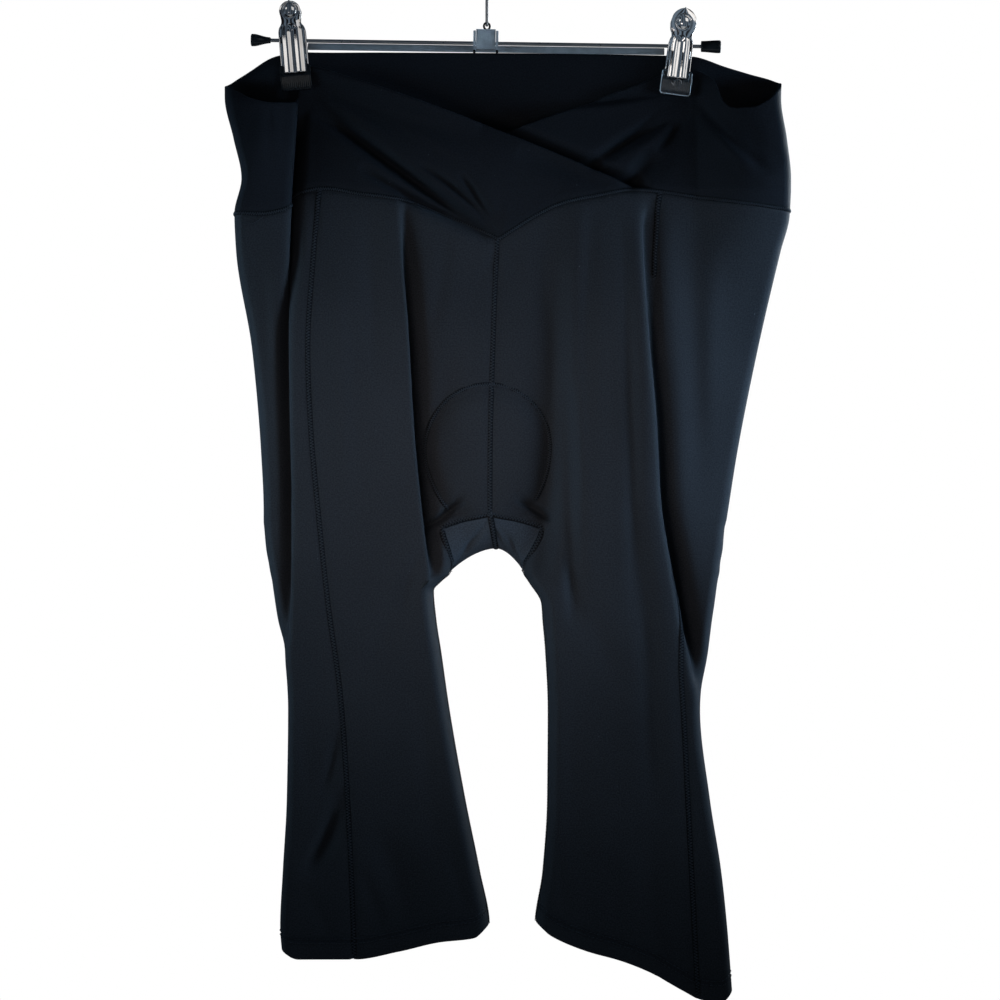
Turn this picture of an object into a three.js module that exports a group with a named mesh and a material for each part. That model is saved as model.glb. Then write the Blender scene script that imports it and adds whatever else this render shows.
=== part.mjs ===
// Cropped leggings with a wide crossover waistband, hung by two clips from a trouser hanger.
// Millimetres, +Z up, +X to the viewer's right, +Y away from the viewer.
// The origin is the inside top of the hook, where it rests on a rail. "down" is the distance below it.
import * as THREE from "three";

// Cloth
const BODY_WALL = 1.2; // single knit of the legs
const HEM_WALL = 2.2; // where the leg is turned up
const BAND_WALL = 1.8; // the waistband is the same knit, doubled
const HEM_DEPTH = 13;
const SEAM_GAP = 0.5; // between band and body
const PANEL_GAP = 0.5; // between panels, whose seams lie in folds
const FOLD_ROUND = 7; // how far the outer fold of a flattened leg rounds in from its edge
const INSEAM_ROUND = 9; // the same at the inner leg
const GUSSET_GAP = 0.6;

// Hanger
const WIRE_RADIUS = 1.5;
const HOOK_RADIUS = 20;
const STEM_TOP = 43.5;
const STEM_FOOT = 63;
const HOOK_JOIN = -Math.PI / 4; // where the bend above the stem meets the round of the hook
const HOOK_SWEEP = 1.36 * Math.PI;
const HOOK_BEND = { up: 4, back: 6 }; // how far the bend leads out of the stem and into the round
const ROD_RADIUS = 1.4;
const ROD_DOWN = 75.6;
const ROD_LEFT = -176;
const ROD_RIGHT = 174.5;
const HANGER_TILT = 0.82 * (Math.PI / 180); // it hangs a little lower on the right
const BAR = { from: -136, to: 135, high: 5.2, deep: 2.4 };
const BLOCK = { from: -8.2, to: 6.6, deep: 10, above: 10.2, below: 5 };
const CHEEK = { wall: 1.8, wider: 0.6, lower: 1.4, shorter: 1.2 }; // the plates beside the block
const CAP = { wall: 3, rim: 2.5, long: 15 };
const LEFT_CAP = { wide: 4.7, narrow: 2.3 };
const RIGHT_CAP = { wide: 4.9, narrow: 4.2 };
const CLEAR = 0.3;
const LEFT_CLIP = { x: -147.4, lean: 5.9 * (Math.PI / 180) };
const RIGHT_CLIP = { x: 147.2, lean: -6.4 * (Math.PI / 180) };
const JAW_WALL = 1.2;
const PAD = { top: -19, foot: -38, half: 12, face: 2.8, wall: 2.2, footIn: 0.8, footUp: 1.5 };
const SPRING = { radius: 2.9, wire: 0.55, turns: 4, pitch: 2.2 };

// How finely the hanger's round parts are cut
const FACES = { rod: 16, cap: 20, wire: 8, wireSteps: 36, hookPoints: 20 };
const SPRING_FACES = { round: 5, turn: 10 };
const BORE_STEPS = 8;
const JAW_COLUMNS = 6;

// One jaw from its finger tab to its foot: up is the height above the rod, out the distance of its
// inner face from the middle and half its half width.
const JAW_ROWS = [
  { up: 31, out: 8.4, half: 3.5 },
  { up: 29.6, out: 8.3, half: 7 },
  { up: 26.5, out: 8, half: 9.6 },
  { up: 20, out: 7.2, half: 10.3 },
  { up: 12, out: 5.9, half: 9.8 },
  { up: 4, out: 4.6, half: 8.6 },
  { up: -4, out: 4.4, half: 8.8 },
  { up: -12, out: 5, half: 10 },
  { up: -19, out: 5.3, half: 10.8 },
  { up: -24, out: 5.3, half: 10.8 },
];

// Waist to hem, one row for each height. inner is the centre seam above the crotch and the inner leg
// below it, outer is the edge of the side fold, and round is how far the leg has closed into a tube.
const LEFT_SECTIONS = [
  { down: 82, inner: 6, outer: -200, round: 0 },
  { down: 118, inner: 8, outer: -199, round: 0 },
  { down: 149, inner: 9.5, outer: -192, round: 0 },
  { down: 179, inner: 10, outer: -186, round: 0 },
  { down: 206, inner: 9.5, outer: -191.5, round: 0 },
  { down: 233, inner: 7.5, outer: -190.5, round: 0 },
  { down: 309, inner: 4.5, outer: -178.5, round: 0 },
  { down: 385, inner: 2.5, outer: -172, round: 0 },
  { down: 432, inner: 2.3, outer: -170, round: 0 },
  { down: 438, inner: -21, outer: -170, round: 0 },
  { down: 444, inner: -34, outer: -169.5, round: 0 },
  { down: 460, inner: -31, outer: -168, round: 0.33 },
  { down: 471, inner: -28.5, outer: -166, round: 0.67 },
  { down: 477, inner: -28, outer: -165, round: 1 },
  { down: 484, inner: -35, outer: -163.5, round: 1 },
  { down: 491, inner: -41, outer: -162.5, round: 1 },
  { down: 514, inner: -39, outer: -159, round: 1 },
  { down: 537, inner: -35.5, outer: -154, round: 1 },
  { down: 582, inner: -29, outer: -151, round: 1 },
  { down: 650, inner: -17, outer: -152, round: 1 },
  { down: 704, inner: -6, outer: -155, round: 1 },
  { down: 746, inner: 1.5, outer: -157, round: 1 },
  { down: 772, inner: 1.5, outer: -155, round: 1 },
];
const RIGHT_SECTIONS = [
  { down: 82, inner: 6, outer: 226, round: 0 },
  { down: 118, inner: 8, outer: 223.5, round: 0 },
  { down: 149, inner: 9.5, outer: 228, round: 0 },
  { down: 179, inner: 10, outer: 231, round: 0 },
  { down: 206, inner: 9.5, outer: 230.5, round: 0 },
  { down: 233, inner: 7.5, outer: 224, round: 0 },
  { down: 309, inner: 4.5, outer: 206.5, round: 0 },
  { down: 385, inner: 2.5, outer: 191.5, round: 0 },
  { down: 432, inner: 2.3, outer: 184, round: 0 },
  { down: 438, inner: 27, outer: 183, round: 0 },
  { down: 444, inner: 42, outer: 181.5, round: 0 },
  { down: 460, inner: 37, outer: 180, round: 0.33 },
  { down: 471, inner: 30.5, outer: 178, round: 0.67 },
  { down: 477, inner: 28, outer: 177.5, round: 1 },
  { down: 484, inner: 32, outer: 176, round: 1 },
  { down: 501, inner: 42, outer: 173.5, round: 1 },
  { down: 514, inner: 43, outer: 171.5, round: 1 },
  { down: 537, inner: 45, outer: 168.5, round: 1 },
  { down: 582, inner: 47, outer: 162, round: 1 },
  { down: 650, inner: 46.5, outer: 169.5, round: 1 },
  { down: 704, inner: 43, outer: 178, round: 1 },
  { down: 746, inner: 37, outer: 182.5, round: 1 },
  { down: 804, inner: 38, outer: 187, round: 1 },
];

// How far the front stands towards the viewer and the back away, from the plane of the hanger,
// and how far the middle of the front lies back between the legs.
const DEPTHS = [
  { down: 82, front: 2.3, back: 2.3, recess: 0 },
  { down: 126, front: 2.5, back: 2.5, recess: 0 },
  { down: 157, front: 8, back: 9, recess: 0 },
  { down: 202, front: 15, back: 15, recess: 2 },
  { down: 240, front: 18, back: 17, recess: 6 },
  { down: 293, front: 21, back: 19, recess: 9 },
  { down: 362, front: 22, back: 21, recess: 11 },
  { down: 432, front: 21, back: 22, recess: 11 },
  { down: 468, front: 20, back: 22, recess: 7 },
  { down: 499, front: 19, back: 21, recess: 0 },
  { down: 582, front: 18, back: 18, recess: 0 },
  { down: 726, front: 16, back: 15, recess: 0 },
  { down: 804, front: 15, back: 14, recess: 0 },
];

// Long folds that run down the front. step is how far the cloth beyond the line lies back,
// lap how far the edge hangs over, and groove how deep a trough lies along the line.
const LEFT_LEG_EDGE = [
  { down: 190, x: -66, lap: 0 },
  { down: 204, x: -63, lap: 0.5 },
  { down: 240, x: -58, lap: 2 },
  { down: 293, x: -53, lap: 2.6 },
  { down: 362, x: -48, lap: 3 },
  { down: 432, x: -44, lap: 3 },
  { down: 475, x: -42, lap: 1 },
  { down: 495, x: -41, lap: 0 },
];
const RIGHT_LEG_EDGE = [
  { down: 198, x: 62, lap: 0 },
  { down: 293, x: 62, lap: 0 },
  { down: 362, x: 61, lap: 0 },
  { down: 432, x: 57, lap: 0 },
  { down: 495, x: 48, lap: 0 },
];
const LEFT_SIDE_FOLD = [
  { down: 116, x: -143, step: 0, lap: 0, groove: 0 },
  { down: 130, x: -145, step: -5, lap: 1, groove: 2 },
  { down: 160, x: -148, step: -8, lap: 3, groove: 5 },
  { down: 195, x: -151, step: -6, lap: 2, groove: 7 },
  { down: 240, x: -155, step: -2, lap: 1, groove: 9 },
  { down: 293, x: -156, step: 2, lap: 1, groove: 9 },
  { down: 362, x: -155, step: 5, lap: 2, groove: 8 },
  { down: 421, x: -153, step: 7, lap: 3, groove: 6 },
  { down: 466, x: -151, step: 8, lap: 3, groove: 4 },
  { down: 514, x: -151, step: 8, lap: 2, groove: 2 },
  { down: 548, x: -152, step: 0, lap: 0, groove: 0 },
];
const RIGHT_SIDE_FOLD = [
  { down: 188, x: 128, step: 0, lap: 0, groove: 0 },
  { down: 217, x: 119, step: 8, lap: 1, groove: 3 },
  { down: 293, x: 122, step: 12, lap: 3, groove: 4 },
  { down: 362, x: 127, step: 14, lap: 4, groove: 3 },
  { down: 421, x: 132, step: 15, lap: 4.5, groove: 2 },
  { down: 466, x: 138, step: 15, lap: 4.5, groove: 1 },
  { down: 514, x: 148, step: 12, lap: 3.5, groove: 0 },
  { down: 544, x: 155, step: 8, lap: 2, groove: 0 },
  { down: 582, x: 162, step: 2, lap: 0, groove: 0 },
  { down: 600, x: 166, step: 0, lap: 0, groove: 0 },
];
const EDGE_WIDTH = 5;
const SOFT_EDGE_WIDTH = 13;

// Shorter creases on the front. from and to are [x, down], bow is how far the middle sags,
// and depth is positive where the crease goes in and negative where it stands out.
const CREASES = [
  { name: "left clip to point", from: [-136, 122], to: [6, 219], bow: -3, width: 5, depth: 4.5 },
  { name: "above the point", from: [-20, 176], to: [8, 215], bow: 0, width: 4, depth: 2 },
  { name: "over piece, right", from: [22, 160], to: [92, 188], bow: 3, width: 9, depth: 2.5 },
  { name: "right clip inwards", from: [144, 124], to: [84, 165], bow: 0, width: 5, depth: 3.5 },
  { name: "right clip down", from: [152, 124], to: [118, 184], bow: 4, width: 9, depth: 3 },
  { name: "right loop", from: [164, 118], to: [226, 166], bow: -5, width: 9, depth: 3 },
  { name: "right thigh", from: [105, 214], to: [124, 612], bow: 4, width: 4, depth: 1.8 },
  { name: "right of centre", from: [62, 330], to: [64, 520], bow: 0, width: 8, depth: 3 },
  { name: "left of gusset", from: [-18, 424], to: [-42, 446], bow: 0, width: 4, depth: 4 },
  { name: "right of gusset", from: [20, 420], to: [45, 440], bow: 0, width: 4, depth: 4 },
  { name: "left shin", from: [-108, 640], to: [-136, 708], bow: 4, width: 9, depth: 4 },
  { name: "left calf", from: [-84, 670], to: [-54, 752], bow: 5, width: 13, depth: 4 },
  { name: "right calf", from: [128, 670], to: [146, 786], bow: -8, width: 13, depth: 4 },
];
// The same on the back, which the viewer doesn't see.
const BACK_CREASES = [
  { name: "left clip to seat", from: [-136, 126], to: [-40, 214], bow: 4, width: 8, depth: 3 },
  { name: "right clip to seat", from: [138, 128], to: [50, 210], bow: -4, width: 8, depth: 3 },
  { name: "left seat", from: [-72, 230], to: [-64, 520], bow: 5, width: 14, depth: 5 },
  { name: "right seat", from: [92, 226], to: [84, 530], bow: -5, width: 14, depth: 5 },
  { name: "centre seat", from: [5, 260], to: [3, 430], bow: 0, width: 18, depth: 6 },
  { name: "left calf", from: [-70, 600], to: [-96, 750], bow: 4, width: 12, depth: 3.5 },
  { name: "right calf", from: [112, 600], to: [98, 770], bow: -4, width: 12, depth: 3.5 },
];

// Between the clips and outside them the band stands out from where it is pinched.
// turns is how much of a half wave the bulge goes through from one end to the other.
const LEFT_LOOP = {
  front: { from: -146, to: -200, out: 12, turns: 0.78, top: 100, bottom: 300 },
  back: { from: -160, to: -200, out: 9, turns: 0.78, top: 84, bottom: 300 },
};
const RIGHT_LOOP = {
  front: { from: 159, to: 226, out: 15, turns: 0.78, top: 90, bottom: 300 },
  back: { from: 159, to: 226, out: 10, turns: 0.78, top: 84, bottom: 300 },
};
const MIDDLE_LOOP = {
  front: { from: -130, to: 129, out: 5, turns: 1, top: 90, bottom: 260 },
  back: { from: -130, to: 129, out: 1, turns: 1, top: 84, bottom: 260 },
};

const PAD_STITCH = { x: 1, down: 382, across: 47, high: 47, dome: 2.5, steep: 2 };

// arch, pull and clear are powers: how its lower edge arches, how closely its sides follow the
// legs, and how near its two seams it is drawn down clear of the panels.
const GUSSET = {
  top: 432,
  corner: 444,
  foot: 477,
  middleX: 7,
  middleFoot: 459.5,
  arch: 1.8,
  pull: 3,
  clear: 4,
};
const GUSSET_CELLS = 12;
const GUSSET_STEP = 0.01;

// Edges, as [x, down].
const OVER_EDGE = [
  [-200, 109],
  [-190, 113],
  [-178, 119.5],
  [-163, 122.5],
  [-147, 121.5],
  [-143.5, 117],
  [-139, 97],
  [-134, 94.5],
  [-104, 103],
  [-66, 116],
  [-5, 138],
  [25, 150],
  [71, 169],
  [110, 186],
];
const UNDER_EDGE = [
  [-92, 190],
  [-66, 178],
  [-28, 160],
  [25, 141],
  [86, 119],
  [134, 100],
  [140, 97],
  [157, 97],
  [171, 104],
  [179, 122],
  [187, 127],
  [201, 126.5],
  [213, 121],
  [222, 112],
  [226, 108],
];
const BACK_EDGE = [
  [-200, 109],
  [-180, 96],
  [-160, 86],
  [-142, 83],
  [0, 83.5],
  [154, 86],
  [181, 93],
  [200, 98],
  [219, 104],
  [226, 108],
];
const WAIST_FRONT = [
  [-192, 206],
  [-170, 207],
  [-156, 204.5],
  [-148, 198],
  [-140, 190],
  [-123, 187],
  [-97, 191],
  [-66, 195],
  [-28, 209],
  [9, 223],
  [25, 216],
  [40, 206],
  [55, 199],
  [86, 192],
  [110, 188],
  [128, 189],
  [162, 194],
  [231, 203],
];
const WAIST_BACK = [
  [-192, 206],
  [-120, 200],
  [0, 196],
  [130, 198],
  [231, 203],
];
const LEFT_HEM = [
  [-157, 763],
  [-142, 769],
  [-100, 769],
  [-66, 763],
  [-36, 756],
  [-10, 753],
  [2, 744],
];
const RIGHT_HEM = [
  [37, 742],
  [50, 752],
  [76, 763],
  [101, 770],
  [126, 780],
  [147, 792],
  [164, 800],
  [178, 801],
  [187, 794],
];
// The seam between the front and side panels.
const LEFT_SEAM = [
  { down: 180, x: -126 },
  { down: 240, x: -131 },
  { down: 309, x: -135 },
  { down: 362, x: -133 },
  { down: 432, x: -127 },
  { down: 499, x: -120 },
  { down: 575, x: -110 },
  { down: 690, x: -103 },
  { down: 772, x: -100 },
];
const RIGHT_SEAM = [
  { down: 180, x: 132 },
  { down: 240, x: 129 },
  { down: 309, x: 129 },
  { down: 362, x: 132 },
  { down: 432, x: 136 },
  { down: 499, x: 142 },
  { down: 575, x: 148 },
  { down: 650, x: 152 },
  { down: 804, x: 160 },
];

const clamp = (v, low, high) => Math.min(high, Math.max(low, v));
const mix = (a, b, share) => a + (b - a) * share;
const rise = (t) => {
  const s = clamp(t, 0, 1);
  return s * s * (3 - 2 * s);
};

// A smooth curve through points with rising first values that never swings past them.
function curve(points) {
  const last = points.length - 1;
  const slope = (i) => (points[i + 1][1] - points[i][1]) / (points[i + 1][0] - points[i][0]);
  const tangents = points.map((_, i) => {
    if (i === 0) return slope(0);
    if (i === last) return slope(last - 1);
    const before = slope(i - 1);
    const after = slope(i);
    return before * after <= 0 ? 0 : (2 * before * after) / (before + after);
  });
  return (at) => {
    const x = clamp(at, points[0][0], points[last][0]);
    let i = 0;
    while (i < last - 1 && x > points[i + 1][0]) i += 1;
    const width = points[i + 1][0] - points[i][0];
    const s = (x - points[i][0]) / width;
    const s2 = s * s;
    const s3 = s2 * s;
    return (
      (2 * s3 - 3 * s2 + 1) * points[i][1] +
      (s3 - 2 * s2 + s) * width * tangents[i] +
      (3 * s2 - 2 * s3) * points[i + 1][1] +
      (s3 - s2) * width * tangents[i + 1]
    );
  };
}
const column = (rows, name) => curve(rows.map((row) => [row.down, row[name]]));
const columns = (rows) =>
  Object.fromEntries(
    Object.keys(rows[0])
      .filter((name) => name !== "down")
      .map((name) => [name, column(rows, name)]),
  );

const SIDES = {
  left: {
    out: -1,
    ...columns(LEFT_SECTIONS),
    legEdge: { ...columns(LEFT_LEG_EDGE), width: EDGE_WIDTH },
    sideFold: columns(LEFT_SIDE_FOLD),
    loop: LEFT_LOOP,
    seam: column(LEFT_SEAM, "x"),
    hem: curve(LEFT_HEM),
  },
  right: {
    out: 1,
    ...columns(RIGHT_SECTIONS),
    legEdge: { ...columns(RIGHT_LEG_EDGE), width: SOFT_EDGE_WIDTH },
    sideFold: columns(RIGHT_SIDE_FOLD),
    loop: RIGHT_LOOP,
    seam: column(RIGHT_SEAM, "x"),
    hem: curve(RIGHT_HEM),
  },
};
const depth = columns(DEPTHS);
const waistFront = curve(WAIST_FRONT);
const waistBack = curve(WAIST_BACK);
const overEdge = curve(OVER_EDGE);
const underEdge = curve(UNDER_EDGE);
const backEdge = curve(BACK_EDGE);

// How deep the creases are at a point: each is a bell across its line and fades at its ends.
const CREASE_FADE = 0.7; // under 1, so a crease keeps its depth until near its ends
function creased(creases, x, down) {
  return creases.reduce((sum, crease) => {
    const dx = crease.to[0] - crease.from[0];
    const dd = crease.to[1] - crease.from[1];
    const length = Math.hypot(dx, dd);
    const along = ((x - crease.from[0]) * dx + (down - crease.from[1]) * dd) / length ** 2;
    if (along <= 0 || along >= 1) return sum;
    const aside = ((x - crease.from[0]) * dd - (down - crease.from[1]) * dx) / length;
    const off = (aside - 4 * crease.bow * along * (1 - along)) / crease.width;
    return sum + crease.depth * Math.exp(-off * off) * Math.sin(Math.PI * along) ** CREASE_FADE;
  }, 0);
}

// How far a loop of the band stands out at a point, fading down the hip.
const LOOP_RISE = 18; // it grows over this height
const LOOP_FADE = 130; // and dies away from this far down
function stands(loop, x, down) {
  const share = clamp((x - loop.from) / (loop.to - loop.from), 0, 1);
  const grown = rise((down - loop.top) / LOOP_RISE);
  const faded = rise((down - LOOP_FADE) / (loop.bottom - LOOP_FADE));
  return loop.out * Math.sin(Math.PI * loop.turns * share) * grown * (1 - faded);
}
const bulge = (side, x, down, face) =>
  stands(side.loop[face], x, down) + stands(MIDDLE_LOOP[face], x, down);

// The sideways shift that makes the edge of a fold hang over what lies behind it.
const FULL_LAP = 2.33; // makes the largest shift equal to the lap
const overhang = (off, lap) => -lap * FULL_LAP * off * Math.exp(-off * off);

// The front of the cloth at a place on the flat: how far it shifts outwards and where it lies in depth.
function frontAt(side, x, down) {
  const edgeOff = ((x - side.legEdge.x(down)) * side.out) / side.legEdge.width;
  const sideOff = ((x - side.sideFold.x(down)) * side.out) / EDGE_WIDTH;
  const inward = 1 - rise((edgeOff + 1) / 2);
  const beyond = rise((sideOff + 1) / 2);
  const pad =
    1 - ((x - PAD_STITCH.x) / PAD_STITCH.across) ** 2 - ((down - PAD_STITCH.down) / PAD_STITCH.high) ** 2;
  return {
    shift:
      overhang(edgeOff, side.legEdge.lap(down)) + overhang(sideOff, side.sideFold.lap(down)),
    y:
      -depth.front(down) +
      depth.recess(down) * inward +
      side.sideFold.step(down) * beyond +
      side.sideFold.groove(down) * Math.exp(-sideOff * sideOff) -
      bulge(side, x, down, "front") -
      PAD_STITCH.dome * rise(pad * PAD_STITCH.steep) +
      creased(CREASES, x, down),
  };
}
const backAt = (side, x, down) =>
  depth.back(down) + bulge(side, x, down, "back") - creased(BACK_CREASES, x, down);

// A ring round one side of the garment. turn runs from -1 at the inner leg to 0 where the front
// starts, 1 where the outer fold starts, 2 where the back starts, 3 and 4 back to the inner leg.
function flatX(side, turn, down) {
  const closing = side.round(down) * INSEAM_ROUND;
  const start = side.inner(down) + side.out * closing;
  const end = side.outer(down) - side.out * FOLD_ROUND;
  if (turn < 0) return start - side.out * INSEAM_ROUND * Math.sin((-turn * Math.PI) / 2);
  if (turn <= 1) return mix(start, end, turn);
  if (turn < 2) return end + side.out * FOLD_ROUND * Math.sin((turn - 1) * Math.PI);
  if (turn <= 3) return mix(end, start, turn - 2);
  return start - side.out * INSEAM_ROUND * Math.sin(((turn - 3) * Math.PI) / 2);
}
function ring(side, turn, down) {
  const x = flatX(side, turn, down);
  const front = frontAt(side, x, down);
  const back = backAt(side, x, down);
  const middle = (front.y + back) / 2;
  const half = (back - front.y) / 2;
  if (turn < 0) {
    return new THREE.Vector3(x, middle - half * Math.cos((-turn * Math.PI) / 2), -down);
  }
  if (turn <= 1) return new THREE.Vector3(x + side.out * front.shift, front.y, -down);
  if (turn < 2) {
    const round = Math.cos((turn - 1) * Math.PI);
    const share = (1 + round) / 2;
    return new THREE.Vector3(x + side.out * front.shift * share, middle - half * round, -down);
  }
  if (turn <= 3) return new THREE.Vector3(x, back, -down);
  return new THREE.Vector3(x, middle + half * Math.cos(((turn - 3) * Math.PI) / 2), -down);
}

// The outward normal of the ring, from its own slopes, so that neighbours agree at a seam.
const TURN_STEP = 0.004;
const DOWN_STEP = 0.4;
function ringNormal(side, turn, down, level) {
  const along = ring(side, turn + TURN_STEP, down).sub(ring(side, turn - TURN_STEP, down));
  const downwards = ring(side, turn, down + DOWN_STEP).sub(ring(side, turn, down - DOWN_STEP));
  const normal = along.cross(downwards).multiplyScalar(-side.out);
  if (level) normal.x = 0;
  return normal.normalize();
}

// The turn at which the front has a given flat x.
function turnAt(side, x, down) {
  const start = side.inner(down) + side.out * side.round(down) * INSEAM_ROUND;
  const end = side.outer(down) - side.out * FOLD_ROUND;
  return clamp((x - start) / (end - start), 0, 1);
}
// The height at which a column of cloth meets an edge that is given by its flat x.
const MEET_PASSES = 6;
function meet(side, turn, edge, guess) {
  let down = guess;
  for (let pass = 0; pass < MEET_PASSES; pass += 1) down = edge(flatX(side, turn, down));
  return down;
}

// A wall between an outer grid of points and the same grid moved in along its normals.
function wall(name, rows, cols, place, thickness, material) {
  const stride = cols + 1;
  const count = (rows + 1) * stride;
  const positions = new Float32Array(count * 6);
  for (let i = 0; i <= rows; i += 1) {
    for (let j = 0; j <= cols; j += 1) {
      const { point, normal } = place(i, j);
      const inside = point.clone().addScaledVector(normal, -thickness(i, j));
      point.toArray(positions, (i * stride + j) * 3);
      inside.toArray(positions, (count + i * stride + j) * 3);
    }
  }
  const index = [];
  const quad = (a, b, c, d) => index.push(a, b, c, a, c, d);
  for (let i = 0; i < rows; i += 1) {
    for (let j = 0; j < cols; j += 1) {
      const a = i * stride + j;
      quad(a, a + 1, a + stride + 1, a + stride);
      quad(count + a, count + a + stride, count + a + stride + 1, count + a + 1);
    }
  }
  const border = [];
  for (let j = 0; j < cols; j += 1) border.push(j);
  for (let i = 0; i < rows; i += 1) border.push(i * stride + cols);
  for (let j = cols; j > 0; j -= 1) border.push(rows * stride + j);
  for (let i = rows; i > 0; i -= 1) border.push(i * stride);
  border.forEach((a, k) => {
    const b = border[(k + 1) % border.length];
    quad(b, a, count + a, count + b);
  });
  const geometry = new THREE.BufferGeometry();
  geometry.setAttribute("position", new THREE.BufferAttribute(positions, 3));
  geometry.setIndex(volume(positions, index) > 0 ? index : index.reverse());
  return named(name, geometry, material);
}
function volume(positions, index) {
  const corner = (i) => new THREE.Vector3().fromArray(positions, index[i] * 3);
  let sum = 0;
  for (let i = 0; i < index.length; i += 3) {
    sum += corner(i).dot(corner(i + 1).cross(corner(i + 2)));
  }
  return sum / 6;
}
function named(name, geometry, material) {
  const mesh = new THREE.Mesh(geometry, material);
  mesh.name = name;
  return mesh;
}

// Materials
const knit = new THREE.MeshStandardMaterial({ color: 0x14171c, roughness: 0.85, metalness: 0 });
const bandKnit = new THREE.MeshStandardMaterial({ color: 0x11161b, roughness: 0.85, metalness: 0 });
const chrome = new THREE.MeshStandardMaterial({ color: 0xd8d8da, roughness: 0.12, metalness: 1 });
const steel = new THREE.MeshStandardMaterial({ color: 0x8d8f92, roughness: 0.3, metalness: 1 });
const clearPlastic = new THREE.MeshStandardMaterial({ color: 0x9a9c9e, roughness: 0.15, metalness: 0 });
const blackRubber = new THREE.MeshStandardMaterial({ color: 0x15181b, roughness: 0.5, metalness: 0 });

// Heights of the rows of a leg panel at one turn: along the waist seam at the top, level round
// the crotch, and along the hem at the bottom.
const SIDE_TURN = 1.5; // halfway round the outer fold, where the front becomes the back
const WAIST_DOWN = 200; // about where the waist seam lies
const HEM_DOWN = 760;
const HEM_STEP = 0.8; // the wall thickens to the hem's over this height
const HIP_LEVEL = 300;
const KNEE_LEVEL = 512;
const LEVEL_ROWS = [332, 368, 406, 432, 435.5, 439.5, 444, 452, 462, 471, 478, 488, 500];
const UPPER_SHARES = [0, 0.12, 0.3, 0.55, 0.8];
const LOWER_SHARES = [0, 0.14, 0.3, 0.46, 0.62, 0.78, 0.92];
function legRows(side, turn) {
  const isBack = turn > SIDE_TURN;
  const waist = meet(side, turn, isBack ? waistBack : waistFront, WAIST_DOWN) + SEAM_GAP / 2;
  const hem = meet(side, turn, side.hem, HEM_DOWN);
  const fold = hem - HEM_DEPTH;
  return [
    ...UPPER_SHARES.map((share) => mix(waist, HIP_LEVEL, share)),
    HIP_LEVEL,
    ...LEVEL_ROWS,
    ...LOWER_SHARES.map((share) => mix(KNEE_LEVEL, fold, share)),
    fold - HEM_STEP,
    fold,
    hem,
  ];
}
const LEG_ROWS = legRows(SIDES.left, 0.5).length - 1;

// Turns drawn to the lines of folds: rising marks at least a sliver apart, with a fixed number of
// columns between each and the next.
const SLIVER = 0.01;
const FOLD_REACH = 1.7; // in widths of the fold to each side of its line
function fenced(marks) {
  const last = marks.length - 1;
  const out = [...marks];
  for (let i = 1; i < last; i += 1) out[i] = Math.max(out[i], out[i - 1] + SLIVER);
  for (let i = last - 1; i > 0; i -= 1) out[i] = Math.min(out[i], out[i + 1] - SLIVER);
  return out;
}
function spread(marks, counts, j) {
  let k = 0;
  let rest = j;
  while (k < counts.length - 1 && rest > counts[k]) {
    rest -= counts[k];
    k += 1;
  }
  return mix(marks[k], marks[k + 1], rest / counts[k]);
}
function foldMarks(side, down, line, width) {
  const reach = width * FOLD_REACH * side.out;
  return [turnAt(side, line - reach, down), turnAt(side, line + reach, down)];
}
const seamTurn = (side, down) => turnAt(side, side.seam(down), down);
const halfGap = (side, down) => {
  const across = Math.abs(side.outer(down) - side.inner(down)) - FOLD_ROUND - INSEAM_ROUND;
  return PANEL_GAP / 2 / across;
};

const LEG_EDGE_CLOSER = 1.5; // columns lie this much closer to the leg's edge than to other folds
const FRONT_COUNTS = { left: [2, 3, 4, 6], right: [2, 3, 4, 3, 5, 1] };
const SIDE_COUNTS = { left: [3, 5, 2, 6, 7, 2], right: [1, 5, 3, 6, 7, 2] };
function frontMarks(side, down) {
  const gap = halfGap(side, down);
  const leg = foldMarks(side, down, side.legEdge.x(down), side.legEdge.width / LEG_EDGE_CLOSER);
  const fold = foldMarks(side, down, side.sideFold.x(down), EDGE_WIDTH);
  const ends = [-side.round(down) + gap, 0, ...leg];
  return fenced(
    side.out < 0 ? [...ends, seamTurn(side, down) - gap] : [...ends, ...fold, seamTurn(side, down) - gap],
  );
}
function sideMarks(side, down) {
  const gap = halfGap(side, down);
  const fold = foldMarks(side, down, side.sideFold.x(down), EDGE_WIDTH);
  return fenced([seamTurn(side, down) + gap, ...fold, 1, 2, 3, 3 + side.round(down) - gap]);
}

// One leg panel. Where it ends at the centre, its wall is cut square to it.
const PLACE_PASSES = 4;
const FRONT_GUESS = 0.4;
const SIDE_GUESS = 2.5;
function legPanel(name, side, marks, counts, guess, centre) {
  const cols = counts.reduce((sum, count) => sum + count, 0);
  const place = (i, j) => {
    let turn = guess;
    let down = 0;
    for (let pass = 0; pass < PLACE_PASSES; pass += 1) {
      down = legRows(side, turn)[i];
      turn = spread(marks(side, down), counts, j);
    }
    const level = j === (centre < 0 ? 0 : cols) && side.round(down) === 0;
    return { point: ring(side, turn, down), normal: ringNormal(side, turn, down, level) };
  };
  const thickness = (i) => (i > LEG_ROWS - 2 ? HEM_WALL : BODY_WALL);
  return wall(name, LEG_ROWS, cols, place, thickness, knit);
}

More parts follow.
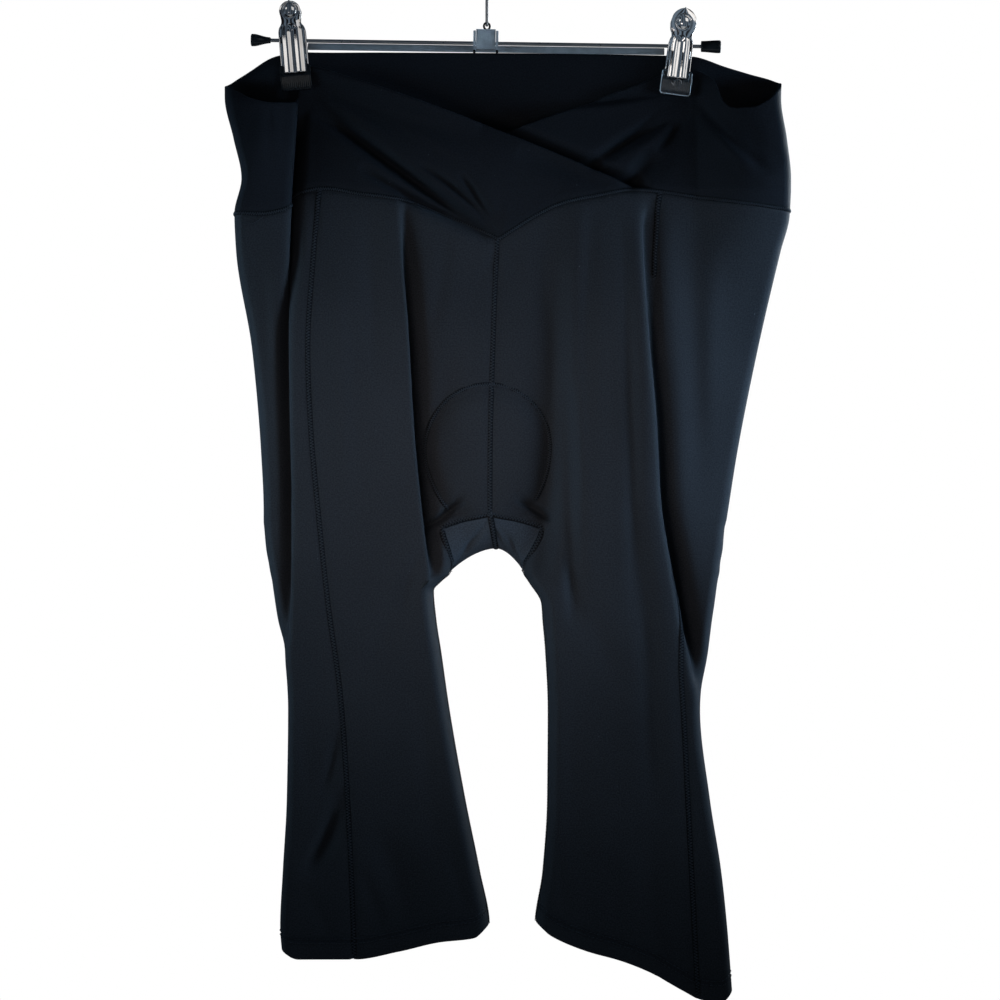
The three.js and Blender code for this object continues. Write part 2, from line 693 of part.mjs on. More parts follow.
// The gusset between the legs. across runs from -1 at the left leg to 1 at the right one, and
// along from 0 at its front seam, under the crotch, to 1 at its back seam.
function gussetPoint(across, along) {
  const side = across < 0 ? SIDES.left : SIDES.right;
  const share = Math.abs(across);
  const arch = share ** GUSSET.arch;
  const under = Math.sin(Math.PI * along);
  const over = (1 - Math.cos(Math.PI * along)) / 2;
  const point = (s, a) => {
    const seam = mix(GUSSET.top, GUSSET.corner, a);
    const x = side.inner(seam);
    const foot = side.inner(GUSSET.foot);
    return new THREE.Vector3(
      mix(x, mix(GUSSET.middleX, foot, s), under),
      mix(frontAt(side, x, seam).y, backAt(side, x, seam), over),
      -mix(seam, mix(GUSSET.middleFoot, GUSSET.foot, a), under),
    );
  };
  const down = mix(GUSSET.corner, GUSSET.foot, under);
  const round = side.round(down);
  const edge = ring(side, along < 0.5 ? -round : 3 + round, down);
  return point(share, arch).add(edge.sub(point(1, 1)).multiplyScalar(share ** GUSSET.pull));
}
function gusset(name, rows, cols) {
  const step = GUSSET_STEP;
  const place = (i, j) => {
    const across = (2 * j) / cols - 1;
    const along = i / rows;
    const middle = Math.abs(across) < step;
    const a = clamp(across, -1 + step, 1 - step);
    const b = clamp(along, step, 1 - step);
    const wide = gussetPoint(a + step, b).sub(gussetPoint(a - step, b));
    const long = gussetPoint(a, b + step).sub(gussetPoint(a, b - step));
    const normal = long.cross(wide).normalize();
    if (middle) normal.x = 0;
    const point = gussetPoint(across, along);
    point.x -= across * GUSSET_GAP;
    point.z -= GUSSET_GAP * Math.abs(Math.cos(Math.PI * along)) ** GUSSET.clear;
    return { point, normal: normal.z > 0 ? normal.negate() : normal };
  };
  return wall(name, rows, cols, place, () => BODY_WALL, knit);
}

// A piece of the waistband between its top edge and the waist seam. stations are places along it,
// counted in turns from the centre, whose own turn is start, with the left side negative.
const BAND_DOWN = 120; // about where its top edge lies
const TIP_HIGH = 1.5; // how high it still is at its pointed end
function bandPiece(name, cut) {
  const { stations, counts, rows, start, top, bottom, sink } = cut;
  const cols = counts.reduce((sum, count) => sum + count, 0);
  const place = (i, j) => {
    const u = spread(stations, counts, j);
    const side = u < 0 ? SIDES.left : SIDES.right;
    const turn = Math.abs(start - Math.abs(u));
    const high = meet(side, turn, top, BAND_DOWN);
    const low = Math.max(meet(side, turn, bottom, WAIST_DOWN) - SEAM_GAP / 2, high + TIP_HIGH);
    const down = mix(high, low, i / rows);
    const normal = ringNormal(side, turn, down, false);
    const point = ring(side, turn, down);
    return { point: point.addScaledVector(normal, -sink(flatX(side, turn, down), down)), normal };
  };
  return wall(name, rows, cols, place, () => BAND_WALL, bandKnit);
}

const SIDE_GAP = 0.012;
const CENTRE_BACK = 3;
const BAND_ROWS = 8;
const BACK_ROWS = 6;
// How far back the under piece lies where the over piece covers it: it starts this far above the
// over piece's edge, is full after grow, and ends within fade, from past beyond the over piece's tip.
const TUCK = { deep: 6, above: 10, grow: 16, past: 2, fade: 14 };
const OVER_TIP = 103;
const UNDER_TIP = -88;
const CLIP_EDGES = [-160, -128, 0, 128, 160]; // both sides of each clip, and the centre
const CLIP_DOWN = 100;
const frontEnd = SIDE_TURN - SIDE_GAP;
const backEnd = CENTRE_BACK - SIDE_TURN - SIDE_GAP;
const placeOf = (x, down) => turnAt(x < 0 ? SIDES.left : SIDES.right, x, down) * Math.sign(x);
const tucked = (x, down) =>
  TUCK.deep *
  rise((down - overEdge(x) + TUCK.above) / TUCK.grow) *
  (1 - rise((x - OVER_TIP - TUCK.past) / TUCK.fade));

// The band's columns are those of the panels below it, so that both follow the same waist seam.
function bandPieces() {
  const [, centre, legIn, legOut, ...rest] = frontMarks(SIDES.left, WAIST_DOWN);
  const [seam, foldIn, foldOut] = sideMarks(SIDES.left, WAIST_DOWN);
  const right = frontMarks(SIDES.right, WAIST_DOWN);
  const rightSide = sideMarks(SIDES.right, WAIST_DOWN);
  const over = [-frontEnd, -1, -foldOut, -foldIn, -seam, -legOut, -legIn, -centre, right[1]];
  over.push(right[2], right[3], placeOf(OVER_TIP, WAIST_DOWN));
  const under = [placeOf(UNDER_TIP, WAIST_DOWN), -legOut, -legIn, -centre, ...right.slice(1)];
  under.push(...rightSide.slice(1, 3), 1, frontEnd);
  const clips = CLIP_EDGES.map((x) => placeOf(x, CLIP_DOWN));
  return [
    bandPiece("band_over", {
      stations: over,
      counts: [3, 2, 5, 3, 6, 4, 3, 1, 3, 4, 2],
      rows: BAND_ROWS,
      start: 0,
      top: overEdge,
      bottom: waistFront,
      sink: () => 0,
    }),
    bandPiece("band_under", {
      stations: under,
      counts: [2, 4, 3, 1, 3, 4, 3, 5, 1, 1, 1, 3, 3],
      rows: BAND_ROWS,
      start: 0,
      top: underEdge,
      bottom: waistFront,
      sink: tucked,
    }),
    bandPiece("band_back", {
      stations: [-backEnd, -1, ...clips, 1, backEnd],
      counts: [3, 4, 1, 4, 4, 1, 4, 3],
      rows: BACK_ROWS,
      start: CENTRE_BACK,
      top: backEdge,
      bottom: waistBack,
      sink: () => 0,
    }),
  ];
}

// Extrudes an outline, given across the rod as [out, up], along the rod.
const ALONG_ROD = new THREE.Matrix4().makeBasis(
  new THREE.Vector3(0, 1, 0),
  new THREE.Vector3(0, 0, 1),
  new THREE.Vector3(1, 0, 0),
);
function alongRod(name, from, to, outline, material) {
  const shape = new THREE.Shape(outline.map(([out, up]) => new THREE.Vector2(out, up)));
  const geometry = new THREE.ExtrudeGeometry(shape, { depth: to - from, bevelEnabled: false });
  geometry.applyMatrix4(ALONG_ROD);
  geometry.translate(from, 0, 0);
  return named(name, geometry, material);
}
const box = (half, low, high) => [
  [-half, low],
  [half, low],
  [half, high],
  [-half, high],
];
// A block that sits over the rod and the bar below it, with a way through that is open underneath.
function straddle(half, low, high) {
  const inside = BAR.deep / 2 + CLEAR;
  const radius = Math.max(ROD_RADIUS + CLEAR, inside);
  const arc = [];
  for (let k = 0; k <= BORE_STEPS; k += 1) {
    const angle = (Math.PI * k) / BORE_STEPS;
    arc.push([-radius * Math.cos(angle), radius * Math.sin(angle)]);
  }
  return [[-half, high], [-half, low], [-radius, low], ...arc, [radius, low], [half, low], [half, high]];
}
const turned = (name, profile, sides, material) =>
  named(name, new THREE.LatheGeometry(profile.map(([r, h]) => new THREE.Vector2(r, h)), sides), material);

function hangerParts() {
  const barLow = -ROD_RADIUS - CLEAR - BAR.high;
  const block = straddle(BLOCK.deep / 2, -BLOCK.below, BLOCK.above);
  const cheekHalf = BLOCK.deep / 2 + CHEEK.wider;
  const cheek = straddle(cheekHalf, -BLOCK.below - CHEEK.lower, BLOCK.above - CHEEK.shorter);
  const cheekPlate = (name, from) => alongRod(name, from, from + CHEEK.wall, cheek, clearPlastic);
  const rod = turned(
    "rod",
    [
      [0, ROD_LEFT],
      [ROD_RADIUS, ROD_LEFT],
      [ROD_RADIUS, ROD_RIGHT],
      [0, ROD_RIGHT],
    ],
    FACES.rod,
    steel,
  );
  rod.geometry.rotateZ(-Math.PI / 2);
  const cap = (name, end, out, { wide, narrow }) => {
    const bore = ROD_RADIUS + CLEAR;
    const mesh = turned(
      name,
      [
        [0, 0],
        [wide, 0],
        [wide, CAP.rim],
        [narrow, CAP.long],
        [bore, CAP.long],
        [bore, CAP.wall],
        [0, CAP.wall],
      ],
      FACES.cap,
      blackRubber,
    );
    mesh.geometry.rotateZ((out * Math.PI) / 2);
    mesh.geometry.translate(end + out * (CAP.wall + CLEAR), 0, 0);
    return mesh;
  };
  return [
    rod,
    alongRod("bar", BAR.from, BAR.to, box(BAR.deep / 2, barLow, barLow + BAR.high), clearPlastic),
    alongRod("centre_block", BLOCK.from, BLOCK.to, block, clearPlastic),
    cheekPlate("cheek_left", BLOCK.from - CLEAR - CHEEK.wall),
    cheekPlate("cheek_right", BLOCK.to + CLEAR),
    cap("end_cap_left", ROD_LEFT, -1, LEFT_CAP),
    cap("end_cap_right", ROD_RIGHT, 1, RIGHT_CAP),
  ];
}

function hookWire() {
  const top = -HOOK_RADIUS;
  const radius = HOOK_RADIUS + WIRE_RADIUS;
  const at = (angle) => new THREE.Vector3(radius * Math.cos(angle), 0, top + radius * Math.sin(angle));
  const path = new THREE.CurvePath();
  const foot = new THREE.Vector3(0, 0, -STEM_FOOT);
  const bend = new THREE.Vector3(0, 0, -STEM_TOP);
  const join = at(HOOK_JOIN);
  path.add(new THREE.LineCurve3(foot, bend));
  path.add(
    new THREE.CubicBezierCurve3(
      bend,
      new THREE.Vector3(0, 0, -STEM_TOP + HOOK_BEND.up),
      join.clone().add(new THREE.Vector3(-HOOK_BEND.back, 0, -HOOK_BEND.back)),
      join,
    ),
  );
  const arc = [];
  const points = FACES.hookPoints;
  for (let k = 0; k <= points; k += 1) arc.push(at(HOOK_JOIN + (k / points) * HOOK_SWEEP));
  path.add(new THREE.CatmullRomCurve3(arc));
  return swept("hook", path, WIRE_RADIUS, FACES.wire, FACES.wireSteps, steel);
}
function swept(name, path, radius, sides, steps, material) {
  const shape = new THREE.Shape();
  for (let k = 0; k < sides; k += 1) {
    const angle = (2 * Math.PI * k) / sides;
    const x = radius * Math.cos(angle);
    const y = radius * Math.sin(angle);
    if (k === 0) shape.moveTo(x, y);
    else shape.lineTo(x, y);
  }
  shape.closePath();
  return named(name, new THREE.ExtrudeGeometry(shape, { steps, extrudePath: path }), material);
}

// A clip: two jaws with a pad each, and the coil spring round the rod between them.
class Coil extends THREE.Curve {
  getPoint(t) {
    const angle = 2 * Math.PI * SPRING.turns * t;
    const along = (t - 0.5) * SPRING.turns * SPRING.pitch;
    return new THREE.Vector3(along, SPRING.radius * Math.cos(angle), SPRING.radius * Math.sin(angle));
  }
}
function jaw(name, face) {
  const last = JAW_ROWS.length - 1;
  const cols = JAW_COLUMNS;
  const place = (i, j) => {
    const row = JAW_ROWS[i];
    const before = JAW_ROWS[Math.max(i - 1, 0)];
    const after = JAW_ROWS[Math.min(i + 1, last)];
    const x = row.half * ((2 * j) / cols - 1);
    const normal = new THREE.Vector3(0, face * (before.up - after.up), after.out - before.out);
    normal.normalize();
    const inner = new THREE.Vector3(x, face * row.out, row.up);
    return { point: inner.addScaledVector(normal, JAW_WALL), normal };
  };
  return wall(name, last, cols, place, () => JAW_WALL, chrome);
}
function pad(name, face) {
  const outline = [
    [PAD.face, PAD.foot],
    [PAD.face + PAD.wall - PAD.footIn, PAD.foot],
    [PAD.face + PAD.wall, PAD.foot + PAD.footUp],
    [PAD.face + PAD.wall, PAD.top],
    [PAD.face, PAD.top],
  ].map(([out, up]) => [face * out, up]);
  return alongRod(name, -PAD.half, PAD.half, outline, blackRubber);
}
function clipParts(name, clip) {
  const springSteps = SPRING.turns * SPRING_FACES.turn;
  const parts = [
    jaw(`${name}_jaw_front`, -1),
    jaw(`${name}_jaw_back`, 1),
    pad(`${name}_pad_front`, -1),
    pad(`${name}_pad_back`, 1),
    swept(`${name}_spring`, new Coil(), SPRING.wire, SPRING_FACES.round, springSteps, steel),
  ];
  parts.forEach((mesh) => {
    mesh.geometry.rotateY(-clip.lean);
    mesh.geometry.translate(clip.x, 0, 0);
  });
  return parts;
}

const leggings = new THREE.Group();
leggings.add(
  legPanel("front_left", SIDES.left, frontMarks, FRONT_COUNTS.left, FRONT_GUESS, -1),
  legPanel("front_right", SIDES.right, frontMarks, FRONT_COUNTS.right, FRONT_GUESS, -1),
  legPanel("side_back_left", SIDES.left, sideMarks, SIDE_COUNTS.left, SIDE_GUESS, 1),
  legPanel("side_back_right", SIDES.right, sideMarks, SIDE_COUNTS.right, SIDE_GUESS, 1),
  gusset("gusset", GUSSET_CELLS, GUSSET_CELLS),
  ...bandPieces(),
);
[...hangerParts(), ...clipParts("clip_left", LEFT_CLIP), ...clipParts("clip_right", RIGHT_CLIP)].forEach(
  (mesh) => {
    mesh.geometry.rotateY(HANGER_TILT);
    mesh.geometry.translate(0, 0, -ROD_DOWN);
    leggings.add(mesh);
  },
);
leggings.add(hookWire());

export default leggings;
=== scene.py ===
# %% [markdown]
# Cropped leggings on a clip hanger.
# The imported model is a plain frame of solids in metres: X to the viewer's right, Y away from the
# viewer, Z up, with the inside top of the hook at the origin. This lesson dresses that frame: each
# cloth panel is worked out again as a fine surface in the same place, seams and stitches are laid
# on it, and every part gets a finish made of nodes.

# %% Load the frame
import math
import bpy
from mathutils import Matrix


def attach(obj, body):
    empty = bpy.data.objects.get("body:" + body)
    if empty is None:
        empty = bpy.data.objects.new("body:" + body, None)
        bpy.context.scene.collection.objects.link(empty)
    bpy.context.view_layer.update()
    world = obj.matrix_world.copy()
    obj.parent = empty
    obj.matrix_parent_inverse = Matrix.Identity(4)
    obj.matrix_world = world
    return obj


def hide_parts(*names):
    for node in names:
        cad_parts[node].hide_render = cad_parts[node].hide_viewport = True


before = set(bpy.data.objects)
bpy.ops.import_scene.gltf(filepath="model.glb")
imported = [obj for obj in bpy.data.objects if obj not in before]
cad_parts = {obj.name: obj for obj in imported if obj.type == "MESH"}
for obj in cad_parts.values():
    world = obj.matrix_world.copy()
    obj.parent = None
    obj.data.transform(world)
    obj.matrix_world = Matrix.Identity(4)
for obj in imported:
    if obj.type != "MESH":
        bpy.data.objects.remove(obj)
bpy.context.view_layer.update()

from types import SimpleNamespace

import bpy
import numpy as np

MM = 0.001  # the cutting pattern is in millimetres
BODY = "root"

# %% [markdown]
# The photograph was taken from straight in front, with the whole garment filling the frame. A
# camera 2.6 m away with a long lens gives that flat view. It could also be orthographic, but then
# the side loops of the waistband would lose the little depth that they show.

# %% Camera
VIEW_WIDTH = 0.76  # metres of the hanger's plane across the picture
VIEW_DISTANCE = 2.6
VIEW_CENTRE = (0.010, -0.4226)
SENSOR = 36

camera = bpy.data.objects.new("camera", bpy.data.cameras.new("camera"))
bpy.context.scene.collection.objects.link(camera)
camera.location = (VIEW_CENTRE[0], -VIEW_DISTANCE, VIEW_CENTRE[1])
camera.rotation_euler = (math.pi / 2, 0, 0)
camera.data.sensor_width = SENSOR
camera.data.lens = SENSOR * VIEW_DISTANCE / VIEW_WIDTH
bpy.context.scene.camera = camera
print("camera lens", round(camera.data.lens, 1), "mm")

# %% [markdown]
# Every edge, fold and section below is a short list of places joined by one smooth curve. A spline
# through all the points would be simpler, but it swings past them where the spacing changes, so
# the curve here keeps each stretch between its two ends.

# %% Curves through places
def rise(t):
    """A soft step: 0 below 0, 1 above 1, and s squared times (3 less 2 s) between."""
    s = np.clip(t, 0, 1)
    return s * s * (3 - 2 * s)


def grown(x, start, over):
    """A soft step that begins at start and is complete a length further on."""
    return rise((x - start) / over)


def mix(a, b, share):
    """The place that lies share of the way from a to b."""
    return a + (b - a) * share


def curve(points):
    """A cubic between each two points; its slope at a point is the harmonic mean of the slopes
    beside it, or level where those have opposite signs."""
    xs, ys = np.array(points, float).T
    slopes = np.diff(ys) / np.diff(xs)
    before, after = slopes[:-1], slopes[1:]
    total = np.where(before + after == 0, 1, before + after)
    inner = np.where(before * after > 0, 2 * before * after / total, 0)
    tangents = np.concatenate([slopes[:1], inner, slopes[-1:]])

    def at(x):
        x = np.clip(x, xs[0], xs[-1])
        i = np.clip(np.searchsorted(xs, x) - 1, 0, len(xs) - 2)
        width = xs[i + 1] - xs[i]
        s = (x - xs[i]) / width
        return (
            (2 * s**3 - 3 * s**2 + 1) * ys[i]
            + (s**3 - 2 * s**2 + s) * width * tangents[i]
            + (3 * s**2 - 2 * s**3) * ys[i + 1]
            + (s**3 - s**2) * width * tangents[i + 1]
        )

    return at


def columns(names, rows):
    """A table whose first column is the distance down; each other column becomes a curve."""
    rows = np.array(rows, float)
    return {n: curve(rows[:, [0, k + 1]]) for k, n in enumerate(names.split())}


print("soft step at a quarter:", float(rise(0.25)))

# %% [markdown]
# The garment is measured like a pattern: for each height, where the inner and outer edges of each
# half lie, how deep the front and back stand, and how far the leg has closed into a tube. The same
# numbers could be read off the frame's mesh, but named measures are easier to change.

# %% Sections of the two halves
SECTION = "inner outer round"
LEFT_SECTIONS = columns(SECTION, [
    (82, 6, -200, 0), (118, 8, -199, 0), (149, 9.5, -192, 0), (179, 10, -186, 0),
    (206, 9.5, -191.5, 0), (233, 7.5, -190.5, 0), (309, 4.5, -178.5, 0), (385, 2.5, -172, 0),
    (432, 2.3, -170, 0), (438, -21, -170, 0), (444, -34, -169.5, 0), (460, -31, -168, 0.33),
    (471, -28.5, -166, 0.67), (477, -28, -165, 1), (484, -35, -163.5, 1), (491, -41, -162.5, 1),
    (514, -39, -159, 1), (537, -35.5, -154, 1), (582, -29, -151, 1), (650, -17, -152, 1),
    (704, -6, -155, 1), (746, 1.5, -157, 1), (772, 1.5, -155, 1),
])
RIGHT_SECTIONS = columns(SECTION, [
    (82, 6, 226, 0), (118, 8, 223.5, 0), (149, 9.5, 228, 0), (179, 10, 231, 0),
    (206, 9.5, 230.5, 0), (233, 7.5, 224, 0), (309, 4.5, 206.5, 0), (385, 2.5, 191.5, 0),
    (432, 2.3, 184, 0), (438, 27, 183, 0), (444, 42, 181.5, 0), (460, 37, 180, 0.33),
    (471, 30.5, 178, 0.67), (477, 28, 177.5, 1), (484, 32, 176, 1), (501, 42, 173.5, 1),
    (514, 43, 171.5, 1), (537, 45, 168.5, 1), (582, 47, 162, 1), (650, 46.5, 169.5, 1),
    (704, 43, 178, 1), (746, 37, 182.5, 1), (804, 38, 187, 1),
])
DEPTH = SimpleNamespace(**columns("front back recess", [
    (82, 2.3, 2.3, 0), (126, 2.5, 2.5, 0), (157, 8, 9, 0), (202, 15, 15, 2), (240, 18, 17, 6),
    (293, 21, 19, 9), (362, 22, 21, 11), (432, 21, 22, 11), (468, 20, 22, 7), (499, 19, 21, 0),
    (582, 18, 18, 0), (726, 16, 15, 0), (804, 15, 14, 0),
]))
print("hip is", float(RIGHT_SECTIONS["outer"](206) - LEFT_SECTIONS["outer"](206)), "mm across")

# %% [markdown]
# Pressed flat and hung up, the cloth keeps long folds down its front: the inner edge of each leg
# and the wing that folds back at each side. Each is a line with a step, an overhang and a trough
# along it, and beyond the side folds the wings slope away. They could be left to noise, but these
# folds are what makes the hanging shape.

# %% Long folds
FOLD_ROUND = 7  # how far the outer fold rounds in from its edge
INSEAM_ROUND = 9
EDGE_WIDTH = 5
SOFT_EDGE_WIDTH = 13

LEG_EDGE = "x lap groove"
LEFT_LEG_EDGE = columns(LEG_EDGE, [
    (190, -66, 0, 0), (204, -65, 0.5, 2), (240, -63.5, 2.4, 5), (293, -60, 3.6, 7),
    (362, -56.5, 4.2, 8), (432, -50, 4.2, 7), (475, -43.5, 2, 3), (495, -41, 0, 0),
])
RIGHT_LEG_EDGE = columns(LEG_EDGE, [
    (198, 62, 0, 0), (293, 62, 0, 2), (362, 61, 0, 4), (432, 57, 0, 5), (495, 48, 0, 0),
])
SIDE_FOLD = "x step lap groove width tilt"
LEFT_SIDE_FOLD = columns(SIDE_FOLD, [
    (112, -143, 0, 0, 0, 5, 0), (126, -144, -5, 2.4, 9, 4, 0), (160, -146, -8, 3, 13, 4, 0),
    (195, -148, -6, 3, 13, 4, 0), (240, -149, -2, 2.4, 12, 4.5, 4),
    (293, -149.5, 2, 2.4, 12, 4.5, 7), (362, -148.5, 5, 2.6, 10, 4.5, 6),
    (421, -147, 7, 3, 9, 4.5, 4), (466, -147, 8, 3, 6, 4.5, 2), (514, -149, 8, 2, 3, 5, 0),
    (548, -151, 0, 0, 0, 5, 0),
])
RIGHT_SIDE_FOLD = columns(SIDE_FOLD, [
    (188, 124, 0, 0, 0, 12, 0), (217, 118, 2, 3, 5, 8, 13), (293, 122, 3, 4, 8, 8, 21),
    (362, 128, 6, 4.4, 9, 8, 20), (421, 131, 9, 4.6, 9, 8, 17), (466, 138, 12, 4.6, 10, 8, 9),
    (514, 147, 11, 3.6, 9, 7, 0), (544, 154, 8, 2, 5, 6, 0), (582, 162, 2, 0, 0, 5, 0),
    (600, 166, 0, 0, 0, 5, 0),
])
print("side folds have", SIDE_FOLD, "and leg edges", LEG_EDGE)

# %% [markdown]
# The creases are given one line of the table each: from, to, how far the middle bows
# aside, how wide, and how deep. A negative depth stands out as a ridge. Noise would be quicker,
# but real creases start at what pulls on the cloth: the clips, the crossing and the crotch.

# %% Creases
CREASE = "x0 d0 x1 d1 bow width deep".split()
FRONT_CREASES = np.array([
    (-138, 116, 8, 224, -3, 5, 12),
    (-20, 176, 8, 215, 0, 2.8, 4),
    (22, 160, 92, 188, 3, 8, 3),
    (154, 118, 74, 172, 1, 5, 9),
    (126, 138, 88, 168, 2, 4, -2),
    (152, 124, 118, 184, 4, 8, 3.4),
    (128, 158, 104, 188, 0, 6, 6),
    (164, 118, 226, 166, -5, 9, 3),
    (103, 210, 112, 520, 2, 5, 3),
    (116, 200, 122, 430, 0, 15, -4.5),
    (112, 420, 128, 660, 3, 6, 3),
    (62, 330, 66, 520, 0, 6, 5),
    (-16, 421, -47, 446, 0, 2.6, 7),
    (20, 419, 50, 438, 0, 2.6, 7),
    (-108, 640, -136, 708, 4, 7, 5),
    (-84, 670, -54, 752, 5, 13, 4),
    (128, 670, 146, 786, -8, 13, 4),
    (-136, 92, -4, 138, 0, 9, -9),
    # the finer ones of the waistband
    (-96, 170, 4, 225, -2, 3.6, 8),
    (-52, 168, 8, 221, 4, 2.6, 4.5),
    (-128, 118, -70, 150, 2, 3.5, -1.2),
    (-120, 112, -78, 128, -1, 4, 1.4),
    (-60, 140, -8, 172, 2, 5, -0.9),
    (-88, 186, -30, 206, -2, 3, 0.9),
    (40, 123, 134, 112, -2, 3.4, 5),
    (153, 124, 128, 160, 1, 2.8, 4),
    (140, 130, 100, 172, 3, 4, -1.1),
    (160, 118, 216, 176, -5, 4, 2.4),
    (168, 132, 214, 186, -4, 5, -1.4),
    (-164, 124, -163, 179, 0, 1.6, 0.7),
    (-176, 126, -184, 196, -2, 4, 1.1),
    (196, 134, 205, 190, 2, 6, 1),
    # drag lines from the crossing and down the body
    (9, 226, -8, 262, 2, 3, 0.8),
    (12, 226, 30, 258, -2, 3.5, 0.9),
    (-30, 214, -44, 300, 3, 5, 0.9),
    (44, 210, 48, 306, -3, 6, 1),
    (-90, 200, -84, 330, 3, 9, 2.2),
    (80, 200, 76, 400, -3, 7, 2.4),
    (-112, 230, -104, 430, -3, 8, -1.6),
    (150, 214, 160, 420, 4, 9, 1.4),
    (176, 220, 168, 380, -3, 8, -1.1),
    (-172, 226, -166, 330, 2, 5, 1.1),
    (-26, 300, -30, 410, -3, 7, 0.8),
    (30, 296, 36, 404, 3, 7, 0.8),
    # round the crotch
    (-12, 428, -30, 436, 1, 2.2, 1),
    (14, 426, 34, 433, -1, 2.2, 1),
    (-46, 450, -62, 520, -3, 5, 1.4),
    (52, 448, 72, 528, 3, 5, 1.4),
    (-60, 470, -96, 560, 5, 9, 1.1),
    (70, 470, 104, 566, -5, 9, 1.2),
    # down the legs
    (-112, 597, -124, 646, 2, 4, 3),
    (-114, 658, -135, 700, 2, 4, 3),
    (-138, 560, -128, 660, -3, 7, 1),
    (-52, 560, -40, 700, 3, 8, 1),
    (-96, 702, -78, 752, 2, 5, 1.2),
    (-140, 716, -118, 758, 3, 5, 0.9),
    (-30, 664, -14, 738, -2, 5, 0.9),
    (66, 570, 74, 720, -3, 8, 1.1),
    (116, 560, 128, 668, 3, 7, 1),
    (167, 679, 176, 692, 1, 2.2, 1.1),
    (92, 690, 104, 762, 3, 6, 1.1),
    (160, 700, 172, 788, -3, 6, 1),
    (54, 690, 58, 744, 2, 4, 0.8),
])
BACK_CREASES = np.array([
    (-136, 126, -40, 214, 4, 8, 3),
    (138, 128, 50, 210, -4, 8, 3),
    (-72, 230, -64, 520, 5, 14, 5),
    (92, 226, 84, 530, -5, 14, 5),
    (5, 260, 3, 430, 0, 18, 6),
    (-70, 600, -96, 750, 4, 12, 3.5),
    (112, 600, 98, 770, -4, 12, 3.5),
    (-136, 88, -4, 132, 0, 11, -4),
    (-128, 118, -58, 158, 2, 4, 1.4),
    (126, 120, 66, 156, -3, 4, 1.3),
    (-150, 214, -128, 400, 6, 8, 1.6),
    (166, 214, 146, 380, -5, 9, 1.7),
    (-30, 236, -44, 330, 3, 6, 1.2),
    (38, 240, 46, 352, -4, 6, 1.1),
    (-14, 404, -56, 452, -5, 5, 2),
    (18, 402, 64, 448, 5, 5, 2.1),
    (-40, 456, -84, 534, -6, 7, 1.8),
    (48, 452, 92, 540, 6, 7, 1.9),
    (-118, 470, -112, 640, 4, 8, 1.3),
    (134, 462, 130, 620, -5, 9, 1.5),
    (-58, 566, -92, 612, 3, 5, 1.3),
    (66, 560, 106, 618, -3, 5, 1.5),
    (-134, 650, -104, 736, -4, 6, 1.3),
    (150, 664, 122, 760, 5, 7, 1.2),
    (-36, 660, -22, 742, 2, 5, 1),
    (58, 670, 64, 748, -2, 5, 1.1),
])
CREASE_FADE = 0.7  # under 1, so a crease keeps its depth until near its ends


def creased(creases, x, down):
    """The sum over the creases of depth times a bell across the line, exp of minus off squared,
    times the sine of pi along the line, to a power."""
    x0, d0, x1, d1, bow, width, deep = (
        creases[:, k].reshape(-1, *[1] * x.ndim) for k in range(len(CREASE)))
    length = np.hypot(x1 - x0, d1 - d0)
    along = ((x - x0) * (x1 - x0) + (down - d0) * (d1 - d0)) / length**2
    aside = ((x - x0) * (d1 - d0) - (down - d0) * (x1 - x0)) / length
    inside = np.clip(along, 0, 1)
    off = (aside - 4 * bow * inside * (1 - inside)) / width
    return (deep * np.exp(-off * off) * np.sin(np.pi * inside) ** CREASE_FADE).sum(axis=0)


print(len(FRONT_CREASES), "creases in front and", len(BACK_CREASES), "behind")

# %% [markdown]
# Between and outside the two clips the waistband springs open, so its front and back stand apart
# there, and they come together where they are pinched. Each stretch is a part of a half wave that
# dies away down the hip.

# %% How the waistband stands open
LOOP_RISE = 18
LOOP_FADE = 130


def loop(start, end, out, turns, top, bottom):
    """out times the sine of pi times turns times the share of the way from start to end, grown in
    below the top of the band and faded out down the hip."""
    def stands(x, down):
        share = np.clip((x - start) / (end - start), 0, 1)
        faded = grown(down, LOOP_FADE, bottom - LOOP_FADE)
        return out * np.sin(np.pi * turns * share) * grown(down, top, LOOP_RISE) * (1 - faded)
    return stands


MIDDLE_LOOP = {"front": loop(-130, 129, 9, 1, 90, 260), "back": loop(-130, 129, 2, 1, 84, 260)}
LEFT_LOOP = {
    "front": loop(-146, -200, 12, 0.78, 100, 300),
    "back": loop(-160, -200, 9, 0.78, 84, 300),
}
RIGHT_LOOP = {
    "front": loop(159, 226, 15, 0.78, 90, 300),
    "back": loop(159, 226, 10, 0.78, 84, 300),
}
print("right loop stands", round(float(RIGHT_LOOP["front"](200, 130)), 1), "mm forward")

# %% [markdown]
# The edges are lines on the flat: the crossing top edges of the two front band pieces, the
# straight top of the back one, the waist seam with its point, and the two slanting hems.

